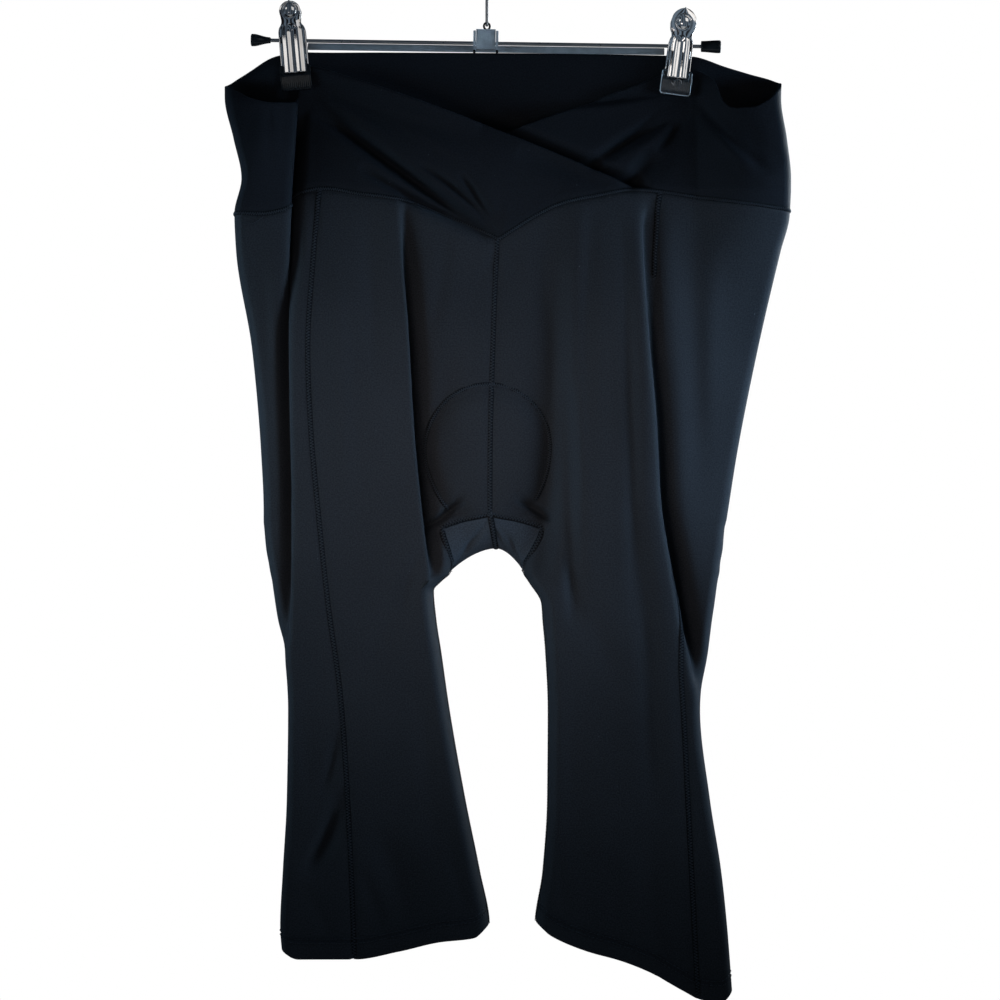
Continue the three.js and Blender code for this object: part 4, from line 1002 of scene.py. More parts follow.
def band_piece(name, stations, counts, start, top, bottom, sink, free):
    """Rows from the top edge to the waist seam, closer together near the folded edge."""
    u = np.concatenate([np.linspace(a, b, c, endpoint=False)
                        for a, b, c in zip(stations, stations[1:], counts)] + [[stations[-1]]])
    rows = np.linspace(0, 1, BAND_ROWS)[:, None] ** EDGE_GATHER
    u = np.broadcast_to(u, (BAND_ROWS, len(u)))
    high, low = (on_half(u, start, 0 * u, lambda s, t, d: meet(s, t, edge, guess))
                 for edge, guess in ((top, BAND_DOWN), (bottom, WAIST_DOWN)))
    down = mix(high, np.maximum(low, high + TIP_HIGH), rows)
    x = on_half(u, start, down, flat_x)
    normal = on_half(u, start, down, ring_normal)
    outer = on_half(u, start, down, ring)
    outer[..., 1] += sink(x, down)
    # The waistband takes the knit painted darker, as painted shade.
    return cloth(name, outer, normal, BAND_WALL, free, band_knit, 0, down)


def places(*xs, down=WAIST_DOWN):
    """Places along the band, counted in turns from the centre, with the left negative."""
    return [float(turn_at(LEFT if x < 0 else RIGHT, float(x), float(down))) * np.sign(x)
            for x in xs]


def flush(x, down):
    """No tuck."""
    return 0 * x


band_over = band_piece(
    "band_over_piece", [-1.5, -1, *places(-160, -140, -60), 0, *places(60, OVER_TIP)],
    [16, 8, 16, 48, 34, 28, 18], 0, OVER_EDGE, WAIST_FRONT, flush, [0])
band_under = band_piece(
    "band_under_piece", [*places(UNDER_TIP), 0, *places(60, 110, 150, 190), 1, 1.5],
    [28, 28, 30, 26, 22, 10, 16], 0, UNDER_EDGE, WAIST_FRONT, tucked, [0])
band_back = band_piece(
    "band_back_piece", [-1.5, -1, *places(-128, down=100), 0, *places(128, down=100), 1, 1.5],
    [16, 22, 26, 26, 26, 16], CENTRE_BACK, BACK_EDGE, WAIST_BACK, flush, [0])

# %% [markdown]
# Each seam is a flat ridge where two edges are joined edge to edge, crossed by looper threads.
# Both are carried along a path on the cloth: the ridge as a profile, and the threads as short
# arched capsules, one small form placed many times with array arithmetic.

# %% Seam ridge and stitches
SEAM_WIDTH = 3.8
SEAM_HIGH = 0.5
STITCH_PITCH = 2.7
THREAD = 0.31
BED_SHARE, STITCH_SHARE = 1.25, 0.85  # of the seam's width
BED_PITCH = 3.0
CROSSING = SimpleNamespace(lift=0.5, arch=0.7)  # of the seam's height
PLAIN = SimpleNamespace(pitch=1.15, gap=0.1, lift=0.05, arch=0.22)
RIDGE_SIDES, RIDGE_END = 10, 0.15
CAPSULE_SIDES, CAPSULE_STEPS = 5, 4
WIDTH_WAY, DEPTH_WAY = np.array([1.0, 0.0, 0.0]), np.array([0.0, 1.0, 0.0])


def even_path(points, normals, pitch):
    """The same path with places a pitch apart along its length."""
    run = lengths(points, 0)
    at = np.linspace(0, run[-1], max(int(run[-1] / pitch), 2) + 1)
    pick = lambda values: np.stack([np.interp(at, run, values[:, k]) for k in range(3)], axis=-1)
    points, normals = pick(points), pick(normals)
    return points, normals / np.linalg.norm(normals, axis=-1, keepdims=True)


def sideways(points, normals):
    """Across the path, in the cloth: the cross product of its direction and its normal."""
    across = np.cross(np.gradient(points, axis=0), normals)
    return across / np.linalg.norm(across, axis=-1, keepdims=True)


def ridge(points, normals, width, high):
    """A closed tube: half the width times the cosine across and the height times the sine up."""
    angle = np.linspace(0, math.tau, RIDGE_SIDES, endpoint=False)
    taper = np.ones((len(points), 1, 1))
    taper[[0, -1]] = RIDGE_END
    across = sideways(points, normals)[:, None] * (np.cos(angle) * width / 2)[:, None]
    up = normals[:, None] * (np.sin(angle) * high)[:, None]
    return closed_tube(points[:, None] + (across + up) * taper)


def closed_tube(tube):
    """Faces along a tube of rings, with a centre point closing each end."""
    steps, sides = tube.shape[:2]
    index = np.arange(steps * sides).reshape(steps, sides)
    body = np.concatenate([quads(index[k], index[k + 1]) for k in range(steps - 1)])

    def cap(loop_index, centre):
        return np.stack([np.roll(loop_index, -1), loop_index, np.full(sides, centre)], axis=-1)

    points = np.concatenate([tube.reshape(-1, 3), tube[[0, -1]].mean(axis=1)])
    return points, [body, cap(index[0], steps * sides), cap(index[-1], steps * sides + 1)[:, ::-1]]


def wire(path, radius, reference, sides=14):
    """A round profile carried along a path. The reference is a direction that is never along it."""
    way = np.gradient(path, axis=0)
    way /= np.linalg.norm(way, axis=-1, keepdims=True)
    first = np.cross(way, reference)
    first /= np.linalg.norm(first, axis=-1, keepdims=True)
    second = np.cross(way, first)
    angle = np.linspace(0, math.tau, sides, endpoint=False)[:, None]
    spokes = first[:, None] * np.cos(angle) + second[:, None] * np.sin(angle)
    return closed_tube(path[:, None] + spokes * np.broadcast_to(radius, len(path))[:, None, None])


def threads(starts, ends, normals, radius, lift):
    """Arched capsules: a round profile carried from each start to its end, thin at both ends and
    raised in the middle by the sine of pi along."""
    along = np.linspace(0, 1, CAPSULE_STEPS + 1)
    swell = np.sin(np.pi * mix(0.1, 0.9, along)) ** 0.5
    angle = np.linspace(0, math.tau, CAPSULE_SIDES, endpoint=False)
    way = (ends - starts) / np.linalg.norm(ends - starts, axis=-1, keepdims=True)
    aside = np.cross(way, normals)
    centre = (starts[:, None] + (ends - starts)[:, None] * along[:, None]
              + normals[:, None] * (lift * np.sin(np.pi * along))[:, None])
    spoke = aside[:, None] * np.cos(angle)[:, None] + normals[:, None] * np.sin(angle)[:, None]
    rings = centre[:, :, None] + spoke[:, None] * (radius * swell)[:, None, None]
    count, steps, sides = rings.shape[:3]
    index = np.arange(count * steps * sides).reshape(count, steps, sides)
    turned = np.roll(index, -1, 2)
    body = np.stack([index[:, :-1], turned[:, :-1], turned[:, 1:], index[:, 1:]], axis=-1)
    return rings.reshape(-1, 3), [body.reshape(-1, 4), index[:, 0, ::-1], index[:, -1]]


def gathered(parts):
    """Joins parts, each (points, [faces]), moving the face indices past the points before them."""
    points, faces, first = [], [], 0
    for part_points, part_faces in parts:
        points.append(part_points)
        faces += [f + first for f in part_faces]
        first += len(part_points)
    return np.concatenate(points), faces


def zigzag(points, normals, width):
    """Threads that cross the seam from side to side, two to each pitch, closer on narrow seams."""
    points, normals = even_path(points, normals, STITCH_PITCH / 2 * width / SEAM_WIDTH)
    side = np.where(np.arange(len(points)) % 2 == 0, 1, -1)[:, None]
    lift = SEAM_HIGH * CROSSING.lift
    place = points + sideways(points, normals) * side * width / 2 + normals * lift
    return threads(place[:-1], place[1:], normals[:-1], THREAD, SEAM_HIGH * CROSSING.arch)


def row(points, normals, aside):
    """A line of separate stitches beside the path."""
    points, normals = even_path(points, normals, STITCH_PITCH * PLAIN.pitch)
    place = points + sideways(points, normals) * aside + normals * PLAIN.lift
    gap = (place[1:] - place[:-1]) * PLAIN.gap
    return threads(place[:-1] + gap, place[1:] - gap, normals[:-1], THREAD, PLAIN.arch)


def flat_seam(name, paths, width=SEAM_WIDTH):
    """Ridge and crossing threads along each path, as one piece with a finish for each."""
    beds = gathered([ridge(*even_path(*path, BED_PITCH), width * BED_SHARE, SEAM_HIGH)
                     for path in paths])
    stitches = gathered([zigzag(*path, width * STITCH_SHARE) for path in paths])
    piece = put_mesh(name, *gathered([beds, stitches]), finish=seam_bed)
    piece.data.materials.append(thread)
    is_thread = np.arange(len(piece.data.polygons)) >= sum(map(len, beds[1]))
    piece.data.polygons.foreach_set("material_index", is_thread.astype(np.int32))
    return piece


def stitch_rows(name, paths, offsets):
    """Lines of stitches along each path, as one piece."""
    piece = put_mesh(name, *gathered([row(*path, aside) for path in paths for aside in offsets]),
                     finish=thread)
    return piece


print("stitches every", STITCH_PITCH, "mm")

# %% [markdown]
# The thread is a little paler than the cloth, and the seam's bed, where the edges are trimmed and
# drawn together, is darker, so a seam reads as a dark line with a ladder of fine stitches.

# %% Thread finish
THREAD_TWIST = 1400  # turns of the yarn to a metre


def thread_finish(name, dark, pale):
    """Spun thread: fine noise for the fibres and a steep wave for the twist."""
    made, tree, shader = finish(name, Roughness=0.55, Specular_IOR_Level=0.06)
    place = node(tree, "TexCoord").outputs["Object"]
    clouded(tree, shader, place, 1600, 2.0, (0.35, dark), (0.68, pale))
    twist = waves(tree, place, "DIAGONAL", THREAD_TWIST, 1.5)
    tree.links.new(bump(tree, twist, 0.00008, 0.6), shader.inputs["Normal"])
    return made


thread = thread_finish("thread", (0.011, 0.013, 0.016), (0.024, 0.028, 0.034))
seam_bed = thread_finish("seam_bed", (0.0015, 0.0018, 0.0022), (0.0045, 0.0052, 0.0062))
print("thread:", THREAD_TWIST, "turns to a metre")

# %% [markdown]
# The seams follow the same functions as the cloth: the waist seam goes all the way round, the
# centre seams in front and behind run down to the gusset, and the side and inner leg seams run to
# the hem. They could be painted on, but a real ridge catches the light and hides the panels' edges.

# %% Seams
STEPS = SimpleNamespace(waist=420, side=400, inner=200, centre=160, gusset=80, hem=600, pad=200)
HALVES = (("left", LEFT), ("right", RIGHT))
WAIST_SEAM_WIDTH = 3.0
CENTRE_X = 9
SEAM_SHORT = 0.5  # the side seam ends this far above the hem
ROLLED = SimpleNamespace(start=250, end=458, over=12, deep=1.3)
ACROSS, ALONG = np.linspace(-1, 1, STEPS.gusset), np.linspace(0, 1, STEPS.gusset)


def path_on(side, turn, down):
    """Points and normals along a path on one half."""
    turn, down = np.broadcast_arrays(turn, down)
    return ring(side, turn, down), ring_normal(side, turn, down)


def waist_path(start, edge):
    """The waist seam across the whole front or back."""
    u = np.linspace(-1.5, 1.5, STEPS.waist)
    down = on_half(u, start, 0 * u, lambda s, t, d: meet(s, t, edge, WAIST_DOWN))
    return on_half(u, start, down, ring), on_half(u, start, down, ring_normal)


def side_seam_path(side):
    """The seam between front and side panel, from waist to hem. At the right it is rolled under the
    soft fold for a stretch, so there it sinks into the cloth."""
    top, foot = WAIST_FRONT(side.seam(WAIST_DOWN)), side.hem(side.seam(HEM_DOWN))
    down = np.linspace(float(top), float(foot) - SEAM_SHORT, STEPS.side)
    points, normals = path_on(side, seam_turn(side, down), down)
    if side is RIGHT:
        sink = (grown(down, ROLLED.start, ROLLED.over)
                * (1 - grown(down, ROLLED.end, ROLLED.over)))
        points = points - normals * (ROLLED.deep * sink)[:, None]
    return points, normals


def inseam_path(side):
    """The inner leg from the gusset to the hem."""
    foot = float(side.hem(flat_x(side, np.float64(-1), np.float64(HEM_DOWN))))
    down = np.linspace(GUSSET.foot, foot, STEPS.inner)
    return path_on(side, np.full_like(down, -1.0), down)


def gusset_path(across, along):
    """A line on the gusset, with the normals of the grid beside it."""
    across, along = np.broadcast_arrays(across, along)
    points = gusset_point(across, along)
    row_at = np.rint(along * GUSSET_CELLS).astype(int)
    col_at = np.rint((across + 1) / 2 * GUSSET_CELLS).astype(int)
    return points, gusset_normal[row_at, col_at]


def centre_path(turn, edge):
    """Down the middle from the waist seam to the gusset, in front or behind."""
    return path_on(RIGHT, turn, np.linspace(float(edge(CENTRE_X)), GUSSET.top, STEPS.centre))


seam_waist = flat_seam(
    "seam_waist", [waist_path(0, WAIST_FRONT), waist_path(CENTRE_BACK, WAIST_BACK)],
    WAIST_SEAM_WIDTH)
seam_centre_front = flat_seam("seam_centre_front", [centre_path(0.0, WAIST_FRONT)])
seam_centre_back = flat_seam("seam_centre_back", [centre_path(3.0, WAIST_BACK)])
seam_side_left, seam_side_right = (
    flat_seam(f"seam_side_{word}", [side_seam_path(side)]) for word, side in HALVES)
seam_inner_left, seam_inner_right = (
    flat_seam(f"seam_inner_{word}", [inseam_path(side)]) for word, side in HALVES)
seam_gusset = flat_seam("seam_gusset", [
    gusset_path(ACROSS, 0.0), gusset_path(ACROSS, 1.0),
    *(gusset_path(across, ALONG) for across in (-1.0, 1.0, 0.0)),
])
print("seams laid, each", SEAM_WIDTH, "mm wide, and", WAIST_SEAM_WIDTH, "at the waist")

# %% [markdown]
# Rows of plain stitches hold the turned-up hems, and a band of crossing ones holds the seat pad,
# which is inside. Its outline shows as a round line on the front.

# %% Hem and pad stitches
PAD_SEAM_WIDTH = 3.0
PAD_ARC = (-140, 132)  # degrees round from its top
HEM_LINES = (-1.6, 1.6)


def hem_path(side):
    """All round the leg, the hem's depth above its edge."""
    turn = np.linspace(-1, 4, STEPS.hem)
    return path_on(side, turn, meet(side, turn, side.hem, HEM_DOWN) - HEM_DEPTH)


def pad_path():
    """Most of an ellipse round the pad: across times the sine and high times minus the cosine."""
    angle = np.radians(np.linspace(*PAD_ARC, STEPS.pad))
    x = PAD.x + PAD.across * np.sin(angle)
    down = PAD.down - np.where(np.cos(angle) > 0, PAD.above, PAD.below) * np.cos(angle)
    sides = [path_on(s, turn_at(s, x, down), down) for s in (LEFT, RIGHT)]
    choose = (x < (LEFT.inner(down) + RIGHT.inner(down)) / 2)[:, None]
    return tuple(np.where(choose, a, b) for a, b in zip(*sides))


hem_stitches_left, hem_stitches_right = (
    stitch_rows(f"hem_stitches_{word}", [hem_path(side)], HEM_LINES) for word, side in HALVES)
pad_stitches = flat_seam("pad_stitches", [pad_path()], PAD_SEAM_WIDTH)
print("hems and pad stitched,", len(hem_stitches_left.data.polygons), "faces on the left hem")

# %% [markdown]
# One loose end of thread lies across the left wing, below the waist seam. It is a thin tube on a
# path over the same surface.

# %% Loose thread
LOOSE = SimpleNamespace(x=(-168, -189), down=(209, 219), wave=1.6, turn=5.5, off=0.45, radius=0.24)


def loose_path():
    """From the seam outwards and down, with a sine of the way along as its wave."""
    t = np.linspace(0, 1, 40)
    x = mix(*LOOSE.x, t)
    down = mix(*LOOSE.down, t) + LOOSE.wave * np.sin(t * LOOSE.turn)
    points, normals = path_on(LEFT, turn_at(LEFT, x, down), down)
    return points + normals * LOOSE.off


loose_thread = put_mesh("loose_thread", *wire(loose_path(), LOOSE.radius, DEPTH_WAY, 8),
                        finish=thread)
print("loose thread laid")

# %% [markdown]
# The hanger is bent wire, pressed steel and a little plastic. Its finishes differ most in how
# sharply they mirror the studio: chrome nearly perfectly, wire in fine brushed lines, clear
# plastic on top of what lies behind it, and rubber hardly at all.

# %% Hanger finishes
TARNISH = 0.86  # how much of its colour a metal keeps where it is dullest


def metal_finish(name, colour, smooth, worn, grain):
    """Metal whose polish varies with slow noise, with fine scratches as bump."""
    made, tree, shader = finish(name, Metallic=1.0)
    place = node(tree, "TexCoord").outputs["Object"]
    tint = tuple(c * TARNISH for c in colour)
    clouded(tree, shader, place, 70, 3.0, (0.3, tint), (0.6, colour))
    varied(tree, shader, "Roughness", noise(tree, place, 260, 4.0), smooth, worn)
    stretch = node(tree, "Mapping", Scale=(0.25, 1, 4))
    tree.links.new(place, stretch.inputs["Vector"])
    lines = noise(tree, stretch.outputs["Vector"], grain, 2.0)
    tree.links.new(bump(tree, lines, 0.00001, 0.2), shader.inputs["Normal"])
    return made


def plastic_finish(name, dark, pale, clear, rough, specular=0.5):
    """Moulded plastic or rubber: slow clouding in its colour and a finely grained surface."""
    made, tree, shader = finish(name, Transmission_Weight=clear, IOR=1.49,
                                Specular_IOR_Level=specular)
    place = node(tree, "TexCoord").outputs["Object"]
    clouded(tree, shader, place, 120, 3.0, (0.35, dark), (0.65, pale))
    varied(tree, shader, "Roughness", noise(tree, place, 500, 2.0), rough * 0.8, rough * 1.3)
    tree.links.new(bump(tree, noise(tree, place, 1200, 2.0), 0.00006, 0.3), shader.inputs["Normal"])
    return made


chrome = metal_finish("chrome", (0.86, 0.84, 0.82), 0.06, 0.16, 900)
# A darker copy of the chrome for the left clip: painted shade, standing in for the darker
# reflections that clip shows.
chrome_painted_shade = metal_finish("chrome_painted_shade", (0.50, 0.49, 0.48), 0.04, 0.10, 900)
wire_steel = metal_finish("wire_steel", (0.30, 0.31, 0.32), 0.22, 0.38, 1500)
clear_plastic = plastic_finish("clear_plastic", (0.42, 0.43, 0.44), (0.58, 0.59, 0.60), 0.35, 0.16)
bar_plastic = plastic_finish("bar_plastic", (0.17, 0.175, 0.18), (0.22, 0.225, 0.23), 0.1, 0.3, 0.3)
smoky_plastic = plastic_finish("smoky_plastic", (0.03, 0.032, 0.036), (0.06, 0.065, 0.07), 0.5,
                               0.08, 0.35)
black_rubber = plastic_finish("black_rubber", (0.004, 0.0045, 0.005), (0.009, 0.010, 0.011), 0.0,
                              0.16, 0.22)
print("seven hanger finishes")

# %% [markdown]
# Rods, wires, caps and pads are all a profile carried along a path. The hanger tilts a little to
# the right and each clip leans by itself, so every piece is worked out level first and then turned
# about the depth axis as whole arrays.

# %% Places on the hanger
HANGER_TILT = math.radians(0.82)
ROD_DOWN = 75.6
ROD_LEFT, ROD_RIGHT, ROD_RADIUS = -176, 174.5, 1.4
CLIPS = {
    "left": SimpleNamespace(x=-147.4, lean=math.radians(5.9), top=29.2, rivet=21.8),
    "right": SimpleNamespace(x=147.2, lean=math.radians(-6.4), top=28.0, rivet=17.2),
}


def turned(points, angle):
    """A turn about the depth axis: x and z mixed by the cosine and sine of the angle."""
    x, y, z = np.moveaxis(points, -1, 0)
    return np.stack([x * math.cos(angle) + z * math.sin(angle), y,
                     z * math.cos(angle) - x * math.sin(angle)], axis=-1)


def on_hanger(points):
    """From a level rod at the origin to the tilted one."""
    return turned(points, HANGER_TILT) - np.array([0, 0, ROD_DOWN])


def on_clip(points, clip):
    """From a clip that stands upright at the origin to its place on the rod."""
    return on_hanger(turned(points, -clip.lean) + np.array([clip.x, 0, 0]))


def lathe(stations, radii, sides=32):
    """Circles about the rod's axis, one at each station along it."""
    angle = np.linspace(0, math.tau, sides, endpoint=False)
    stations, radii = np.asarray(stations, float)[:, None], np.asarray(radii, float)[:, None]
    return closed_tube(np.stack([stations + 0 * angle, radii * np.cos(angle),
                                 radii * np.sin(angle)], axis=-1))


def fixed(name, part, where, look, *nodes, slot):
    """Places a part of the hanger and hides the solids it stands for."""
    piece = put_mesh(name, where(part[0]), part[1], finish=look)
    if nodes:
        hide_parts(*nodes)


print("rod is", ROD_RIGHT - ROD_LEFT, "mm long")

# %% Rod, bar and end caps
ROD_EVEN = 170  # up to here, both ways, its stations are even
ROD_TIP = np.array([(0, 0.9), (0.25, 1.2), (0.6, ROD_RADIUS)])  # how far in, and how thick there
BAR = SimpleNamespace(start=-136, end=135, even=130, high=5.2, deep=2.4, gap=0.3, bevel=0.4,
                      shrink=0.86)
BAR_ROUND = 4  # the power of its rounded-off section
CAP = SimpleNamespace(length=15, past=3.3, flat=2.5, flare=0.8, even=(1.8, 14.6))
CAP_ROUND = np.array([(0, 1.1), (0.25, 0.35), (0.9, 0)])  # how far in, and how much thinner


def rod_part():
    """A straight wire with slightly rounded ends."""
    run, radius = ROD_TIP.T
    even = np.linspace(-ROD_EVEN, ROD_EVEN, 60)
    stations = np.concatenate([ROD_LEFT + run, even, ROD_RIGHT - run[::-1]])
    return lathe(stations, np.concatenate([radius, ROD_RADIUS + 0 * even, radius[::-1]]), 24)


def bar_part():
    """A section whose half height and depth follow a cosine and sine to the power of two quarters,
    which squares them off, carried along the rod."""
    angle = np.linspace(0, math.tau, 28, endpoint=False)
    across, up = (np.sign(wave) * np.abs(wave) ** (2 / BAR_ROUND) * size / 2
                  for wave, size in ((np.cos(angle), BAR.deep), (np.sin(angle), BAR.high)))
    stations = np.concatenate([
        [BAR.start, BAR.start + BAR.bevel], np.linspace(-BAR.even, BAR.even, 40),
        [BAR.end - BAR.bevel, BAR.end]])[:, None]
    shrink = np.ones_like(stations)
    shrink[[0, -1]] = BAR.shrink
    middle = -ROD_RADIUS - BAR.gap - BAR.high / 2
    return closed_tube(np.stack([stations + 0 * angle, across * shrink, middle + up * shrink],
                                axis=-1))


def cap_part(end, out, wide, narrow):
    """A flared cap: its radius goes smoothly from the wide closed end to the narrow open one."""
    run = np.concatenate([CAP_ROUND[:, 0], np.linspace(*CAP.even, 20), [CAP.length]])
    body = mix(wide, narrow, grown(run, CAP.flat, CAP.length - CAP.flat) ** CAP.flare)
    body[:len(CAP_ROUND)] = wide - CAP_ROUND[:, 1]
    body[-1] = narrow - CAP_ROUND[1, 1]
    return lathe(end + out * (CAP.past - run), body)


fixed("hanger_rod", rod_part(), on_hanger, wire_steel, "rod", slot="steel")
fixed("hanger_bar", bar_part(), on_hanger, bar_plastic, "bar", slot="clear_plastic")
fixed("cap_left", cap_part(ROD_LEFT, -1, 4.7, 2.3), on_hanger, black_rubber, "end_cap_left",
      slot="black_rubber")
fixed("cap_right", cap_part(ROD_RIGHT, 1, 4.9, 4.2), on_hanger, black_rubber, "end_cap_right",
      slot="black_rubber")
print("bar is", BAR.end - BAR.start, "mm long")

# %% [markdown]
# The hook is one wire: a straight stem, a bend back, and rather more than half a circle that goes
# over the rail. It ends in a small twisted eye above the clear centre block, whose two legs clasp
# the bar and have dark tips.

# %% Hook and centre block
HOOK = SimpleNamespace(radius=21.1, wire=1.1, top=-20, stem_top=43.5, stem_foot=62.6,
                       join=-math.pi / 4, sweep=1.36 * math.pi, up=4, back=6)
HOOK_TIP = np.array([0.96, 0.8, 0.45])
EYE = SimpleNamespace(radius=2.6, wire=0.8, down=62.6, turn=math.radians(30), start=-0.5, end=1.42)
PEG = SimpleNamespace(y=-5.9, foot=-8.6, top=-5.6, radius=1.05, left=-9.4, right=7.8)


def hook_path():
    """Stem, then a cubic between four points, then an arc."""
    stem = np.linspace([0, 0, -HOOK.stem_foot], [0, 0, -HOOK.stem_top], 14)
    around = HOOK.join + np.linspace(0, HOOK.sweep, 80)
    arc = np.stack([HOOK.radius * np.cos(around), 0 * around,
                    HOOK.top + HOOK.radius * np.sin(around)], axis=-1)
    a, b = stem[-1], stem[-1] + np.array([0, 0, HOOK.up])
    c, d = arc[0] - np.array([HOOK.back, 0, HOOK.back]), arc[0]
    t = np.linspace(0, 1, 26)[1:-1, None]
    bend = (1 - t)**3 * a + 3 * (1 - t)**2 * t * b + 3 * (1 - t) * t**2 * c + t**3 * d
    return np.concatenate([stem, bend, arc])


def hook_part():
    """The wire, thinner over its last three places so that its tip is rounded."""
    path = hook_path()
    radius = np.full(len(path), HOOK.wire)
    radius[-len(HOOK_TIP):] = HOOK.wire * HOOK_TIP
    return wire(path, radius, DEPTH_WAY)


def eye_part():
    """A nearly closed ring of thinner wire, turned about the stem."""
    angle = np.linspace(EYE.start * math.pi, EYE.end * math.pi, 48)
    x, z = EYE.radius * np.cos(angle), EYE.radius * np.sin(angle) - EYE.down
    path = np.stack([x * math.cos(EYE.turn), x * math.sin(EYE.turn), z], axis=-1)
    return wire(path, EYE.wire, np.array([-math.sin(EYE.turn), math.cos(EYE.turn), 0]), 10)


def tip_part(x):
    """A short rounded peg, wider in the middle."""
    up = np.linspace(0, 1, 9)
    path = np.stack([x + 0 * up, PEG.y + 0 * up, mix(PEG.foot, PEG.top, up)], axis=-1)
    return wire(path, PEG.radius * np.sin(np.pi * mix(0.12, 0.88, up)) ** 0.5, WIDTH_WAY, 12)


fixed("hook_wire", hook_part(), lambda p: p, wire_steel, "hook", slot="steel")
fixed("hook_eye_ring", eye_part(), lambda p: p, black_rubber, slot="steel")
fixed("block_tips", gathered([tip_part(PEG.left), tip_part(PEG.right)]), on_hanger, black_rubber,
      slot="black_rubber")
print("hook bends round", 2 * (HOOK.radius - HOOK.wire), "mm")

# %% [markdown]
# A clip is two pressed jaws. The round head has a domed rivet, the neck narrows, and the body
# widens again with two rounded ribs and edges that turn in. A height over the flat outline gives
# all of it; cutting and bending a plate would give the same with far more steps.

# %% Clip jaws
JAW = SimpleNamespace(wall=1.0, foot=-24.6, rows=120, columns=48, bend=25, head_rows=24,
                      gather=1.6, neck=9, over=6)  # it bends in at the neck, below the rivet
JAW_BACK = (70, 20)  # a place of the grid on the jaw's flat body
RIBS = SimpleNamespace(high=1.3, across=0.43, width=0.23)
TURNED_IN = SimpleNamespace(deep=2.6, start=0.74)
HEAD_HIGH = 1.6
RIVET = SimpleNamespace(radius=5.0, dome=2.2, trough=0.5, out=1.12, width=0.12)
FACES = ((-1, "front"), (1, "back"))
# The left clip takes the darker copy of the chrome, painted shade for its darker reflections.
CLIP_CHROME = {"left": chrome_painted_shade, "right": chrome}
JAW_HALF = {
    "left": curve([
        (-25, 10.2), (-10, 10.1), (6, 9.9), (9, 9.2), (12, 7.4), (14.5, 6.9), (17, 7.1),
        (21.8, 7.8), (24.7, 7.1), (27.2, 5.3), (28.7, 3), (29.2, 0.7),
    ]),
    "right": curve([
        (-26, 9.3), (-10, 9.2), (0, 9), (4, 8.3), (6.5, 7.3), (9, 7.5), (13, 8.9), (17.2, 9.3),
        (21.5, 8.5), (25, 6.3), (27.2, 3.4), (28, 0.8),
    ]),
}
JAW_OUT = curve([
    (-24, 5.3), (-19, 5.3), (-12, 5), (-4, 4.4), (4, 4.6), (12, 5.9), (20, 7.2), (26.5, 8),
    (31, 8.4),
])


def jaw_grid(side, face):
    """Outer face: the jaw's own distance, plus two ribs, a round head and the rivet's dome, less
    the turned-in edges and the trough round the rivet."""
    clip = CLIPS[side]
    head_rows = mix(clip.top, JAW.bend, np.linspace(0, 1, JAW.head_rows) ** JAW.gather)
    up = np.concatenate([head_rows, np.linspace(JAW.bend, JAW.foot, JAW.rows)[1:]])
    across = np.sin(np.linspace(-1, 1, JAW.columns + 1) * np.pi / 2)[None, :]
    up = up[:, None] + 0 * across
    x = JAW_HALF[side](up) * across
    aside = np.abs(across)
    below = rise((clip.rivet - JAW.neck - up) / JAW.over)
    ribs = RIBS.high * np.exp(-((aside - RIBS.across) / RIBS.width) ** 2) * below
    edges = TURNED_IN.deep * grown(aside, TURNED_IN.start, 1 - TURNED_IN.start) * below
    head = HEAD_HIGH * (1 - below) * np.clip(1 - across**2, 0, 1)
    from_rivet = np.hypot(x, up - clip.rivet) / RIVET.radius
    dome = RIVET.dome * np.sqrt(np.clip(1 - from_rivet**2, 0, 1))
    trough = RIVET.trough * np.exp(-((from_rivet - RIVET.out) / RIVET.width) ** 2)
    out = JAW_OUT(up) + JAW.wall + ribs - edges + head + dome - trough
    return np.stack([x, face * out, up], axis=-1)


def jaw(side, face, word):
    """One jaw as a wall with rounded edges all round."""
    grid = on_clip(jaw_grid(side, face), CLIPS[side])
    normal = grid_normal(grid)
    if normal[JAW_BACK][1] * face < 0:
        normal = -normal
    made = cloth(f"jaw_{side}_{word}", grid, normal, JAW.wall, [0, 1, 2, 3], CLIP_CHROME[side])
    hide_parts(f"clip_{side}_jaw_{word}")


for side in CLIPS:
    for face, word in FACES:
        jaw(side, face, word)

# %% [markdown]
# Each jaw grips through a soft sleeve with fine ribs on its lower edge. The left clip has black
# ones and the right clip smoky clear ones, as the photograph shows.

# %% Clip pads and springs
SLEEVE = SimpleNamespace(half=11.8, end=1.6, shrink=0.78)
PAD_SECTION = np.array([  # out, up
    (2.8, -38.4), (5.4, -38.4), (6.3, -37.6), (6.6, -36.6), (6.7, -33), (6.6, -28), (6.4, -26.4),
    (5.1, -25.4), (5.0, -23), (5.0, -19.3), (4.6, -19), (2.8, -19), (2.75, -26), (2.75, -33),
])
SPRING = SimpleNamespace(radius=2.9, wire=0.55, turns=4, pitch=2.2)
GRIP = SimpleNamespace(deep=0.16, pitch=1.5, out=6, up=-27)  # ribs below and outside these
RIM = SimpleNamespace(out=6.5, half=11.2, swell=0.2, corner=1, top=-20.5, middle=-28, low=-36.5,
                      foot=-37.6, wire=0.42)
TONGUE = SimpleNamespace(x=(-4.2, 3.4), sway=1.1, turn=9, up=-28.5, hang=2.4, bend=6.6)


